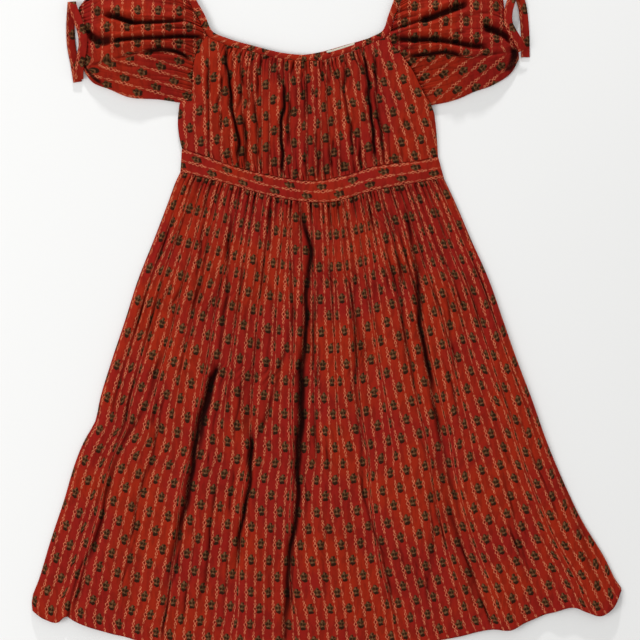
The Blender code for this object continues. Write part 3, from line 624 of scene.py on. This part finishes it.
def skirt_gathers(s, width, down):
    """Fine gathers at the band and creases between strips of cloth: how far they sink,
    the painted shade that darkens the cloth in them, and the cloth's place on the flat
    cloth, which moves with them. Many short creases at the band give way to fewer long
    ones, and those to the main folds."""
    sink, deep = gathers(s, SKIRT_TOP, down)
    sink, deep = sink * ramp(down, -2, 5), deep * ramp(down, -3, 4)
    many, off, number = pleats(s, width, SKIRT_CUT[0], uneven(SKIRT_PLEATS, 5.0), COLUMN)
    depth = (2.6 + 3.4 * scatter(SKIRT_PLEATS + 1, 8.0))[number]
    depth = depth * np.exp(-down / (35 + 150 * scatter(SKIRT_PLEATS + 1, 9.0) ** 2)[number])
    sink_many, shade_many = crease(depth, off, down, number)
    few, off, number = pleats(s, width, SKIRT_CUT[0], SKIRT_CREASES, 0.6 * COLUMN)
    depth = (2.0 + 3.2 * scatter(len(SKIRT_CREASES), 10.0))[number] * ramp(down, 20, 120)
    length = (260 + 420 * scatter(len(SKIRT_CREASES), 12.0))[number]
    depth = depth * (1 - ramp(down, 0.4 * length, length))
    sink_few, shade_few = crease(depth, off, down, number)
    main = pleats(s, width, SKIRT_CUT[0], SKIRT_MAIN)[0]
    share, low_share = ramp(down, 40, 260), ramp(down, 220, 520)
    cloth = (1 - low_share) * ((1 - share) * many + share * few) + low_share * main
    deep = np.maximum(deep, np.maximum(shade_many, shade_few))
    return sink + sink_many + sink_few, deep, cloth


def skirt_front():
    """Front of the skirt. Height = level + broad waves + folds - gathers and creases,
    less the roll to the side seams; a hem is turned up at the foot."""
    top, foot, left, right = skirt_edges(0.0)
    x, y, s, t = four_sided(top, foot, left, right, np.linspace(0, 1, SKIRT_COLUMNS[0]),
                            joined((0, 0.05, 12), (0.05, 0.982, 55), (0.982, 1, 7)))
    down = t * SKIRT_CUT[1]
    width, edge = to_sides(x, y, s)
    s = s + s * (1 - s) * (0.010 * np.sin(7 * t + 19 * s) + 0.006 * np.sin(17 * t + 43 * s))
    base, lift, fall = SKIRT_LEVEL
    level = base + lift * ramp(t, 0, SKIRT_CREST) - fall * ramp(t, SKIRT_CREST, 1)
    waves = (1.5 * wave(s, t, 7.2, 0.6) + 1.1 * wave(s, t, 11.7, -0.4, 0.3)
             + 0.7 * wave(s, t, 23.3, 0.9) * wave(s, t, 1.3, 2.2))
    small = small_creases(lambda across, up: tuple(foot(across) * (1 - up) + top(across) * up),
                          *SKIRT_SMALL)
    rise, fold_shade = fold_all(x + 1.6 * np.sin(y / 23 + x / 61) + 0.9 * np.sin(y / 9 + x / 37), y,
                            SKIRT_FOLDS + small)
    sink, deep, cloth = skirt_gathers(s, width, down)
    free = ramp(edge, 1, 10)
    z = level + waves * ramp(t, 0.05, 0.4) + rise - sink * free
    fold_shade = np.maximum(fold_shade, free * deep)
    hem = SKIRT_CUT[1] - down
    z = z - STITCH_DEEP * (np.exp(-((hem - HEM_STITCH) / 1.4) ** 2)
                           - (1 - ramp(hem, 8.0, 9.5)))
    z = np.maximum(z, FRONT_LOW + 0.2)
    y = y + ramp(t, 0.93, 1) * 0.45 * np.maximum(level - 1.0 - z, 0)
    z = FRONT_LOW + (z - FRONT_LOW) * side_roll(edge)
    x, y, z, fold_shade, u = crowd(x, y, z, np.clip(fold_shade, 0, 1), cloth, down[:, 0],
                               SKIRT_COLUMNS[1])
    uv = np.stack([u, np.broadcast_to(-down[:, :1], u.shape)], -1) * MM
    return height_shell("skirt_front_cloth", x, y, z, uv, fold_shade)


def skirt_back():
    """Back of the skirt, flat on the floor, with the gathers as low ridges upwards."""
    x, y, s, t = four_sided(*skirt_edges(3.0), np.linspace(0, 1, 261),
                            np.linspace(0, 1, 41) ** 1.2)
    down = t * SKIRT_CUT[1]
    z = CLOTH + 0.75 * np.abs(np.sin(np.pi * SKIRT_GATHERS * s)) * np.exp(-down / 90)
    uv = np.stack([s * SKIRT_CUT[0] * MM, -down * MM], -1)
    return level_shell("skirt_back_cloth", x, y, z, uv)


def strip(top, foot, columns, rows):
    """Grid of a narrow strip between two lines."""
    s, t = np.meshgrid(np.linspace(0, 1, columns), np.linspace(0, 1, rows))
    a, b = top(s), foot(s)
    grid = a + (b - a) * t[..., None]
    return grid[..., 0], grid[..., 1], s, t


def waistband(side):
    """Waistband: level across, with a turned edge and a row of stitches along both
    long sides, and a slight pucker. The print runs along it."""
    x, y, s, t = strip(smooth_line(BAND_TOP), smooth_line(BAND_FOOT), 361, 15)
    uv = np.stack([(0.5 - t) * BAND_CUT[1], -s * BAND_CUT[0]], -1) * MM
    if side == "back":
        z = np.full_like(x, DOUBLE_TOP)
    else:
        inward = np.minimum(t, 1 - t) * BAND_TALL
        z = BAND_LEVEL[0] + BAND_LEVEL[1] * np.sin(np.pi * t)
        z = z + 0.35 * np.sin(61 * s + 2 * t) * np.sin(17 * s + 1)
        z = z - STITCH_DEEP * np.exp(-((inward - 2.4) / 0.9) ** 2)
        z = z - 0.6 * (1 - ramp(inward, 0, 1.6))
        low = BACK_TOP + SEAM + DOUBLE_TOP
        z = low + (z - low) * side_roll(np.minimum(s, 1 - s) * BAND_WIDE)
    return height_shell("waistband_" + side + "_cloth", x, y, z, uv, wall=DOUBLE)


def bodice_grid(s, t, inset):
    """Grid of a bodice panel between neck seam, armholes, sides and waistband."""
    seam, first, last = neck_seam()

    def top(share):
        """Point below the neck seam, at a share of the way between its corners."""
        return seam(first + (last - first) * np.asarray(share, dtype=float)) - (0, inset)

    foot = smooth_line(moved(BAND_TOP, 0, SEAM))
    left = side_line(top, foot, 0.0, ARMHOLE_LEFT[1:-1] + SIDE_LEFT[:-1])
    right = side_line(top, foot, 1.0, ARMHOLE_RIGHT[1:-1] + SIDE_RIGHT[:-1])
    return four_sided(top, foot, left, right, s, t)


def bodice_grain(x, y):
    """Place across the cloth, u, where x = u + lean(u) * (330 - y): the print leans
    outwards beside the right armhole. Found by putting u back into it a few times."""
    u = x
    for _ in range(7):
        u = x - np.interp(u, [-190, -60, 20, 90, 160], [0.04, 0.0, 0.10, 0.30, 0.26]) * (330 - y)
    return u


def bodice_print(x, y, s, held):
    """Place across the flat cloth: along its grain and slightly wavy. Where the cloth is
    held, each strip between two gathers lies up to 4.5 mm to a side of its place."""
    count = BODICE_NECK[0]
    place = s * count - 0.5
    number = np.clip(np.floor(place), 0, count - 2).astype(int)
    off = ramp(place - number, 0.35, 0.65)
    jump = 9.0 * (scatter(count, 14.0) - 0.5)
    cloth = bodice_grain(x, y) + held * ((1 - off) * jump[number] + off * jump[number + 1])
    return cloth + 1.2 * np.sin(y / 11 + x / 31) * np.sin(x / 19 - y / 47)


def bodice_front():
    """Front of the bodice. Height = level + folds - valleys of the gathers, deepest at
    the neck and at the waistband, none beside the side seams."""
    x, y, s, t = bodice_grid(np.linspace(0, 1, BODICE_COLUMNS[0]),
                             joined((0, 0.1, 12), (0.1, 0.9, 56), (0.9, 1, 12)), SEAM)
    edge = to_sides(x, y, s)[1]
    down = t * BODICE_TALL
    up = BODICE_TALL - down
    small = small_creases(
        lambda across, k: (-205 + 365 * across + 14 * k - 26 * across * k, 215 + 195 * k),
        *BODICE_SMALL)
    rise, fold_shade = fold_all(x + 1.5 * np.sin(y / 13 + x / 41) + 0.7 * np.sin(y / 5.5 + x / 23),
                            y, BODICE_FOLDS + small)
    full = ramp(s, 0.06, 0.15) * (1 - ramp(s, 0.83, 0.93))
    above, shade_above = gathers(s, BODICE_NECK, down)
    below, shade_below = gathers(s, BODICE_WAIST, up)
    above, below = above * ramp(down, -2, 5), below * ramp(up, -2, 5)
    waves = 0.7 * wave(s, t, 13, 0.7) + 0.6 * wave(s, t, 21, -1.9) * np.sin(
        5 * np.pi * t + 9 * s)
    middle = np.sin(np.pi * t)
    z = (BODICE_LEVEL[0] + BODICE_LEVEL[1] * middle**0.7 + rise - full * (above + below)
         + waves * middle)
    fold_shade = np.maximum(fold_shade, full * np.maximum(shade_above, shade_below))
    cloth = bodice_print(x, y, s, full * (np.exp(-down / 30) + np.exp(-up / 30)))
    for row, deep in zip(BODICE_FOLDS, scatter(len(BODICE_FOLDS), 13.0)):
        fold = smooth_line(row[0])(np.linspace(0, 1, 40))
        off = x - np.interp(y, fold[:, 1], fold[:, 0])
        cloth = cloth + 9.0 * row[-1] * ramp(off, -2.4, 2.4)
        # A thin crease along each fold, with painted shade in it
        sink, dark = crease((1.6 + 2.4 * deep) * ramp(edge, 2, 12), np.abs(off), down,
                            int(90 * deep))
        z, fold_shade = z - sink, np.maximum(fold_shade, dark)
    z = np.maximum(z, FRONT_LOW + 0.2)
    roll = 1 - ramp(t, 0.45, 0.75) * (1 - side_roll(edge))
    z = FRONT_LOW + (z - FRONT_LOW) * roll
    x, y, z, fold_shade, u = crowd(x, y, z, np.clip(fold_shade, 0, 1), cloth, down[:, 0],
                               BODICE_COLUMNS[1])
    uv = np.stack([u, (y - 200) * 1.03 - 0.16 * x], -1) * MM
    return height_shell("bodice_front_cloth", x, y, z, uv, fold_shade)


def bodice_back():
    """Back of the bodice, flat on the floor, gathered as the front is."""
    x, y, s, t = bodice_grid(np.linspace(0, 1, 201), np.linspace(0, 1, 31), SEAM + 1.2)
    full = ramp(s, 0.05, 0.14) * (1 - ramp(s, 0.85, 0.94))
    ends = np.exp(-t * BODICE_TALL / 30) + np.exp(-(1 - t) * BODICE_TALL / 30)
    z = CLOTH + 0.6 * full * np.abs(np.sin(np.pi * BODICE_GATHERS * s)) * ends
    uv = np.stack([s * BODICE_CUT[0] * MM, -t * BODICE_CUT[1] * MM], -1)
    return level_shell("bodice_back_cloth", x, y, z, uv)


def bulge(s):
    """How far the back of the neck shows beyond its front: half a sine over a stretch."""
    return np.where((s > 0.5) & (s < 0.78), np.sin(np.pi * (s - 0.5) / 0.28), 0.0)


def neck_binding(side):
    """Narrow binding: a rounded strip over the neck edge, stitched along its foot."""
    x, y, s, t = strip(smooth_line(NECK_EDGE), neck_seam()[0], 481, 11)
    long, wide = s * BINDING_CUT[0], (t - 0.5) * BINDING_CUT[1]
    uv = np.stack([long + wide, long - wide], -1) * BIAS * MM
    if side == "back":
        y = y + (bulge(s) * NECK_BACK - 0.6 * (1 - bulge(s))) * (1 - t)
        z = np.full_like(x, DOUBLE_TOP)
    else:
        around = np.sin(np.pi * np.clip(0.03 + 0.94 * t, 0, 1))
        z = BINDING_LEVEL[0] + BINDING_LEVEL[1] * np.sqrt(around)
        z = z - 0.5 * np.exp(-((t - 0.84) / 0.07) ** 2)
        z = z + 0.22 * np.sin(150 * s + 5 * t) * np.sin(31 * s)
    return height_shell("neck_binding_" + side + "_cloth", x, y, z, uv, wall=DOUBLE)


def sleeve_height(side, x, y, across, along):
    """Height of a sleeve's upper layer, and the painted shade in its folds: the puff and
    the folds times a sine across, less the gathers that fan out from armhole and cuff."""
    puff = np.interp(along, *np.array(PUFF).T)
    rise, fold_shade = fold_all(x, y, SLEEVE_FOLDS[side])
    height = (puff + rise) * np.sin(np.pi * np.clip(across, 0, 1)) ** 0.75
    sink, deep = gathers(across, SLEEVE_CROWN, along * SLEEVE_LONG)
    cuff, shade_cuff = gathers(across, SLEEVE_CUFF, (1 - along) * SLEEVE_LONG, 0.6, 0.5)
    free = ramp(across, 0.03, 0.14)
    fold_shade = np.maximum(fold_shade, np.maximum(deep, shade_cuff) * free)
    return np.maximum(height - (sink + cuff) * free, 0.0), fold_shade


def sleeve(side):
    """Puff sleeve as one flattened open tube: a level layer on the floor and a raised
    one over it, joined by round edges. The inner skin is the same ring drawn in."""
    shape_of = SLEEVES[side]
    seam, first, last = neck_seam()
    corner, end = (first, 0.0) if side == "left" else (last, 1.0)
    by_neck = [tuple(point) for point in seam(np.linspace(corner, end, 9))]
    start = moved(shape_of["armhole"][:0:-1] + by_neck, shape_of["turn"] * 0.4, 0)
    foot = start[:1] + shape_of["foot"][1:]
    fold = start[-1:] + shape_of["fold"][1:]
    top_count, under_count = 170, 30
    over = 0.55 * (0.5 - 0.5 * np.cos(np.linspace(0, np.pi, top_count)))
    over = over + 0.45 * np.linspace(0, 1, top_count)
    under = 0.5 - 0.5 * np.cos(np.linspace(np.pi, 2 * np.pi, under_count + 2))[1:-1]
    ring = np.concatenate([over, under])
    lower = np.arange(len(ring)) >= top_count
    j = np.linspace(0, 1, 120)
    edges = [smooth_line(line) for line in (foot, fold, start, shape_of["cuff"])]
    px, py, along, across0 = four_sided(*edges, j, ring)
    width = np.hypot(*(edges[1](j) - edges[0](j)).T)[None, :]
    plan = np.stack([px, py], -1)
    middle = plan[:top_count].mean(axis=0, keepdims=True)
    skins = []
    for inset in (0.0, CLOTH):
        across = inset / width + across0 * (1 - 2 * inset / width)
        a = middle + (plan - middle) * (1 - 2 * inset / width)[..., None]
        x, y = a[..., 0], a[..., 1]
        edge = np.minimum(across, 1 - across) * width - inset
        radius = EDGE_RADIUS - inset
        round_edge = np.sqrt(np.maximum(radius**2 - (radius - np.clip(edge, 0, radius)) ** 2, 0))
        height, fold_shade = sleeve_height(side, x, y, across, along)
        top = EDGE_RADIUS + round_edge + height * ramp(edge, 0, 3) - 0.5 * inset
        z = np.where(lower[:, None], EDGE_RADIUS - round_edge, top)
        skins.append(np.stack([x, y, z], -1).transpose(1, 0, 2))
    fold_shade = np.where(lower[:, None], 0.0, fold_shade).T
    uv = sleeve_grain(side, plan[..., 0], plan[..., 1]).transpose(1, 0, 2)
    return cloth_shell("sleeve_" + side + "_cloth", skins[0], skins[1], uv, fold_shade, True)


def sleeve_grain(side, x, y):
    """Place on the flat cloth. Above a line through the lowest fold the print stands
    upright; below it the cloth is turned about a point on that line. The change is
    sudden inside the fold and soft beyond its end towards the cuff."""
    line, pivot, turn, soft_from = SLEEVE_GRAIN[side]
    turn = np.radians(turn)
    line = np.array(line, dtype=float)
    toward = -1.0 if side == "left" else 1.0
    blend = 2.0 + 7.0 * ramp(toward * (x - soft_from), 0.0, 25.0)
    share = ramp(np.interp(x, line[:, 0], line[:, 1]) - y, -blend, blend)
    off_x, off_y = x - pivot[0], y - pivot[1]
    u = (1 - share) * off_x + share * (np.cos(turn) * off_x + np.sin(turn) * off_y)
    v = (1 - share) * off_y + share * (np.cos(turn) * off_y - np.sin(turn) * off_x)
    return np.stack([u, v], -1) * MM


def tie(side):
    """Flat strap carried along its middle line: folded lengthwise, so both long edges
    are rounded, and stitched along one of them. Its fold turns over at the top."""
    line = smooth_line(TIES[side])
    place = line(np.linspace(0, 1, TIE_POINTS))
    ahead = np.gradient(place, axis=0)
    ahead /= np.linalg.norm(ahead, axis=1)[:, None]
    lean = ahead[:, :2] * np.sign(ahead[:, 1:2])
    flip = np.abs(ahead[:, 1]) < 0.75
    lean[flip] = (0.0, 1.0)
    kernel = np.ones(2 * TIE_SOFT + 1) / (2 * TIE_SOFT + 1)
    soft = np.array([np.convolve(np.pad(lean[:, k], TIE_SOFT, "edge"), kernel, "valid")
                     for k in (0, 1)]).T
    soft /= np.linalg.norm(soft, axis=1)[:, None]
    wide = np.stack([soft[:, 1], -soft[:, 0], np.zeros(len(soft))], -1)
    out = np.cross(wide, ahead)
    out /= np.linalg.norm(out, axis=1)[:, None]
    v = np.linspace(-0.5, 0.5, 13)
    thick = TIE_THICK * (0.42 + 0.58 * np.sqrt(np.clip(1 - (2 * v) ** 6, 0, 1)))
    thick = thick - 0.35 * np.exp(-((v - 0.36) / 0.05) ** 2)
    middle = place[:, None, :] + wide[:, None, :] * (v * TIE_WIDTH)[None, :, None]
    half = out[:, None, :] * (thick / 2)[None, :, None]
    length = np.linspace(0, 1, TIE_POINTS) * np.linalg.norm(np.diff(place, axis=0), axis=1).sum()
    uv = np.stack(np.broadcast_arrays((v * TIE_WIDTH * MM + 0.3 * COLUMN * MM)[None, :],
                                      (length * MM)[:, None]), -1)
    return cloth_shell("tie_" + side + "_cloth", middle + half, middle - half, uv)


def neck_label():
    """Blank woven label: a thin plate with a slight bow, its upper edge laid along the
    back edge of the neck."""
    u, v = np.meshgrid(np.linspace(-0.5, 0.5, 41) * LABEL_SIZE[0],
                       np.linspace(0.5, -0.5, 21) * LABEL_SIZE[1])
    turn = np.radians(LABEL_TURN)
    x = LABEL_CENTRE[0] + u * np.cos(turn) - v * np.sin(turn)
    y = LABEL_CENTRE[1] + u * np.sin(turn) + v * np.cos(turn)
    back = smooth_line(NECK_EDGE)(np.linspace(0, 1, 400))
    y = np.minimum(y, np.interp(x, back[:, 0], back[:, 1]) + 3.6 * bulge(
        np.interp(x, back[:, 0], np.linspace(0, 1, 400))))
    z = LABEL_LEVEL[0] + LABEL_LEVEL[1] * np.cos(np.pi * u / LABEL_SIZE[0])
    uv = np.stack([u * MM, v * MM], -1)
    return height_shell("neck_label_cloth", x, y, z, uv, wall=0.5)


class Nodes:
    """A new material, with short ways to add and link its shader nodes."""

    def __init__(self, name):
        self.material = bpy.data.materials.new(name)
        self.material.use_nodes = True
        self.tree = self.material.node_tree
        self.shader = self.tree.nodes["Principled BSDF"]

    def fill(self, node, inputs):
        """Link or set the inputs of a node."""
        for name, value in inputs.items():
            if isinstance(value, Value):
                value = value.socket
            if isinstance(value, bpy.types.NodeSocket):
                self.tree.links.new(value, node.inputs[name])
            else:
                node.inputs[name].default_value = value
        return node

    def add(self, kind, inputs, **settings):
        """New node of a kind, with its settings made before its inputs."""
        node = self.tree.nodes.new("ShaderNode" + kind)
        for name, value in settings.items():
            setattr(node, name, value)
        return self.fill(node, inputs)

    def noise(self, place, scale, detail):
        """Cloudy noise from 0 to 1."""
        node = self.add("TexNoise", {"Vector": place, "Scale": scale, "Detail": detail})
        return Value(self, node.outputs["Fac"])

    def mix(self, share, below, above):
        """Colour below, changed to above where share is 1."""
        return self.add("Mix", {"Factor": share, "A": below, "B": above},
                        data_type="RGBA").outputs["Result"]


class Value:
    """Number in a shader. The operators, math and step add nodes that work it out."""

    def __init__(self, nodes, socket):
        self.nodes, self.socket = nodes, socket

    def math(self, operation, *others):
        """Math node whose first value is this number."""
        node = self.nodes.add("Math", dict(enumerate((self, *others))), operation=operation)
        return Value(self.nodes, node.outputs[0])

    def __add__(self, other):
        return self.math("ADD", other)

    def __sub__(self, other):
        return self.math("SUBTRACT", other)

    def __rsub__(self, other):
        return self * -1.0 + other

    def __mul__(self, other):
        return self.math("MULTIPLY", other)

    def __truediv__(self, other):
        return self.math("DIVIDE", other)

    def __abs__(self):
        return self.math("ABSOLUTE")

    def step(self, low, high):
        """Smooth step of the number, from 1 at low to 0 at high."""
        node = self.nodes.add("MapRange", {"Value": self, "From Min": low, "From Max": high,
                                           "To Min": 1.0, "To Max": 0.0},
                              interpolation_type="SMOOTHSTEP")
        return Value(self.nodes, node.outputs[0])


def cloth_surface(nodes, rough):
    """Matt cloth with a fine weave, and crinkles that run along the cloth. Returns the
    place on the object and the crinkles' height."""
    place = nodes.add("TexCoord", {}).outputs["Object"]
    long = nodes.add("VectorMath", {0: place, 1: (1.0, 0.3, 1.0)}, operation="MULTIPLY")
    crinkle = nodes.noise(long.outputs[0], 150.0, 3.0)
    weave = nodes.noise(place, 1500.0, 1.0)
    first = nodes.add("Bump", {"Strength": 0.55, "Distance": 0.0024, "Height": crinkle})
    second = nodes.add("Bump", {"Strength": 0.25, "Distance": 0.0002, "Height": weave,
                                "Normal": first.outputs["Normal"]})
    nodes.fill(nodes.shader, {"Normal": second.outputs["Normal"], "Roughness": rough,
                              "Specular IOR Level": 0.07})
    return place, crinkle


GROUND = (0.243, 0.0097, 0.0060, 1)
GROUND_WARM = (0.295, 0.0170, 0.0045, 1)
# Darker red painted as shade in the hollows of the crinkles
GROUND_CRINKLE_SHADE = (0.115, 0.0050, 0.0020, 1)
PEACH = (0.61, 0.195, 0.092, 1)
CENTRE_RED = (0.075, 0.004, 0.003, 1)
OLIVE = (0.080, 0.032, 0.010, 1)
BROWN = (0.026, 0.008, 0.003, 1)
DUSTY = (0.155, 0.065, 0.028, 1)
SHADE = (0.005, 0.0008, 0.0004, 1)
CREAM = (0.70, 0.69, 0.56, 1)
PALE = (0.86, 0.86, 0.85, 1)

# Diamonds of a chain in mm: way from the eye's level, half length, half width
CHAIN = [(0.0, 4.0, 2.9), (7.3, 3.3, 2.0), (12.8, 2.5, 1.3), (REPEAT / 2, 5.0, 1.7)]
# Half sizes of the dark eye, and how far a chain stands below the buds' level
EYE = (1.3, 1.9)
CHAIN_SHIFT = 1.5
# A strand's colour fades between two distances from its middle, the strong chain and
# the faint one fade between two ways along, and this is the faint one's share
STRAND = (0.25, 0.95)
STRONG = (12.5, 17.0)
FAINT = (5.5, 9.0)
FAINT_SHARE = 0.75
# How far the edges of the buds wander
SPECKLE = 4.6
# Parts of one bud in mm about its middle: centre, half sizes, colour
BUD = [((0.2, 3.9), (3.2, 4.1), OLIVE), ((-3.9, 1.2), (2.0, 2.9), OLIVE),
       ((4.1, 1.6), (1.9, 2.8), OLIVE), ((0.1, -4.2), (4.6, 4.1), OLIVE),
       ((0.3, -6.0), (4.4, 2.5), BROWN), ((-2.1, 0.7), (1.7, 1.8), BROWN),
       ((2.4, 0.5), (1.6, 2.1), BROWN), ((2.1, 5.6), (1.4, 2.0), BROWN),
       ((-0.6, 4.4), (1.6, 1.9), DUSTY), ((-0.6, -2.8), (2.4, 1.1), DUSTY)]


def print_cloth():
    """Printed cloth. Columns of small buds stand between chains, and each column is
    dropped by half a repeat. A chain is a pair of strands that bow apart into diamonds,
    by w * (1 - |q - c| / h) mm. Left of each bud are five, the middle one with a dark
    eye, and right of it is one that is fainter; q is the way from the eye's level."""
    nodes = Nodes("printed_cloth")
    uv = nodes.add("UVMap", {}, uv_map="cloth").outputs["UV"]
    flat = nodes.add("SeparateXYZ", {0: uv}).outputs
    across = Value(nodes, flat["X"]) / (COLUMN * MM)
    dropped = across.math("FLOOR").math("FLOORED_MODULO", 2.0) * 0.5
    along = Value(nodes, flat["Y"]) / (REPEAT * MM) + dropped
    x = (across.math("FRACT") - 0.5) * COLUMN
    y = (along.math("FRACT") - 0.5) * REPEAT
    place, crinkle = cloth_surface(nodes, 0.9)
    warm = nodes.noise(place, 9.0, 2.0).step(0.62, 0.40)
    colour = nodes.mix(warm, GROUND, GROUND_WARM)
    # Painted shade in the hollows of the crinkles, where the bump's height is low
    colour = nodes.mix(crinkle.step(0.36, 0.56) * 0.35, colour, GROUND_CRINKLE_SHADE)

    beside = COLUMN / 2 - abs(x)
    right = x.math("GREATER_THAN", 0.0) * 0.5
    q = abs((along + right + CHAIN_SHIFT / REPEAT).math("FRACT") - 0.5) * REPEAT
    bow = 0.0
    for middle, tall, wide in CHAIN:
        bow = (wide - abs(q - middle) * (wide / tall)).math("MAXIMUM", bow)
    strand = abs(beside - bow).step(*STRAND)
    faint = (REPEAT / 2 - q).step(*FAINT) * FAINT_SHARE
    strength = q.step(*STRONG).math("MAXIMUM", faint)
    worn = nodes.noise(uv, 420.0, 2.0).step(0.60, 0.38) * 0.75 + 0.25
    colour = nodes.mix(strand * strength * worn, colour, PEACH)
    eye = (beside / EYE[0]).math("POWER", 2.0) + (q / EYE[1]).math("POWER", 2.0)
    colour = nodes.mix(eye.step(0.4, 1.2) * 0.7, colour, CENTRE_RED)
    speckle = (nodes.noise(uv, 270.0, 1.0) - 0.5) * SPECKLE
    x, y = x + speckle, y + speckle
    for middle, half, tint in BUD:
        a, b = (x - middle[0]) / half[0], (y - middle[1]) / half[1]
        colour = nodes.mix((a * a + b * b).step(0.75, 1.15), colour, tint)

    # Painted shade: the colour turns towards SHADE along folds, creases and gathers, by the
    # attribute that the pieces carry
    fold_shade = Value(nodes, nodes.add("Attribute", {}, attribute_name="fold_shade").outputs["Fac"])
    colour = nodes.mix(fold_shade * 0.97, colour, SHADE)
    nodes.fill(nodes.shader, {"Base Color": colour})
    return nodes.material


def label_cloth():
    """Plain cream label ribbon."""
    nodes = Nodes("label_ribbon")
    cloth_surface(nodes, 0.6)
    nodes.fill(nodes.shader, {"Base Color": CREAM})
    return nodes.material


def dress_piece(piece, material):
    """Give a piece its cloth. It takes the place of the
    node whose name it has, without the last word."""
    piece.data.materials.append(material)
    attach(piece, "root")
    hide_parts(piece.name.removesuffix("_cloth"))


def build_dress():
    """Make every piece of the dress and give it its cloth."""
    printed = print_cloth()
    dress_piece(skirt_back(), printed)
    dress_piece(skirt_front(), printed)
    dress_piece(bodice_back(), printed)
    dress_piece(bodice_front(), printed)
    for side in ("front", "back"):
        for name, make, flat in (("waistband", waistband, (0.418, 0.038)),
                                 ("neck_binding", neck_binding, (0.62, 0.0105))):
            dress_piece(make(side), printed)
    for side in ("left", "right"):
        dress_piece(sleeve(side), printed)
        dress_piece(tie(side), printed)
    dress_piece(neck_label(), label_cloth())


# Lamps: name, place and size in metres, power
LAMPS = [("key", (0.05, 3.5, 0.93), 0.14, 66.0), ("fill", (-2.6, -0.5, 2.4), 1.6, 50.0)]
ROOM_LIGHT = 0.655
# The camera's place, and the width that it shows, in metres
CAMERA = (-0.0110, -0.0128, 3.0)
SHOWN = 1.008
SENSOR = 36.0
FLOOR = [(-4, -4, -0.0003), (4, -4, -0.0003), (4, 4, -0.0003), (-4, 4, -0.0003)]


def studio():
    """Pale floor, soft light from above the neck, soft fill and the camera."""
    paper = Nodes("floor_paper")
    paper.fill(paper.shader, {"Base Color": PALE, "Roughness": 0.9, "Specular IOR Level": 0.1})
    mesh = bpy.data.meshes.new("floor")
    mesh.from_pydata(FLOOR, [], [(0, 1, 2, 3)])
    mesh.materials.append(paper.material)
    stand("floor", mesh)

    for name, place, size, power in LAMPS:
        lamp = bpy.data.lights.new(name, "AREA")
        lamp.size = size
        lamp.energy = power
        aim = -np.array(place)
        tilt = np.arccos(-aim[2] / np.linalg.norm(aim))
        stand(name, lamp, place, (tilt, 0.0, np.arctan2(aim[1], aim[0]) - np.pi / 2))

    scene = bpy.context.scene
    scene.world = bpy.data.worlds.new("soft_room")
    scene.world.use_nodes = True
    sky = scene.world.node_tree.nodes["Background"].inputs
    sky["Color"].default_value = (1.0, 1.0, 1.0, 1)
    sky["Strength"].default_value = ROOM_LIGHT

    camera = bpy.data.cameras.new("camera")
    camera.sensor_width = SENSOR
    camera.lens = SENSOR * CAMERA[2] / SHOWN
    scene.camera = stand("camera", camera, CAMERA)
    scene.view_settings.view_transform = "Standard"


build_dress()
studio()
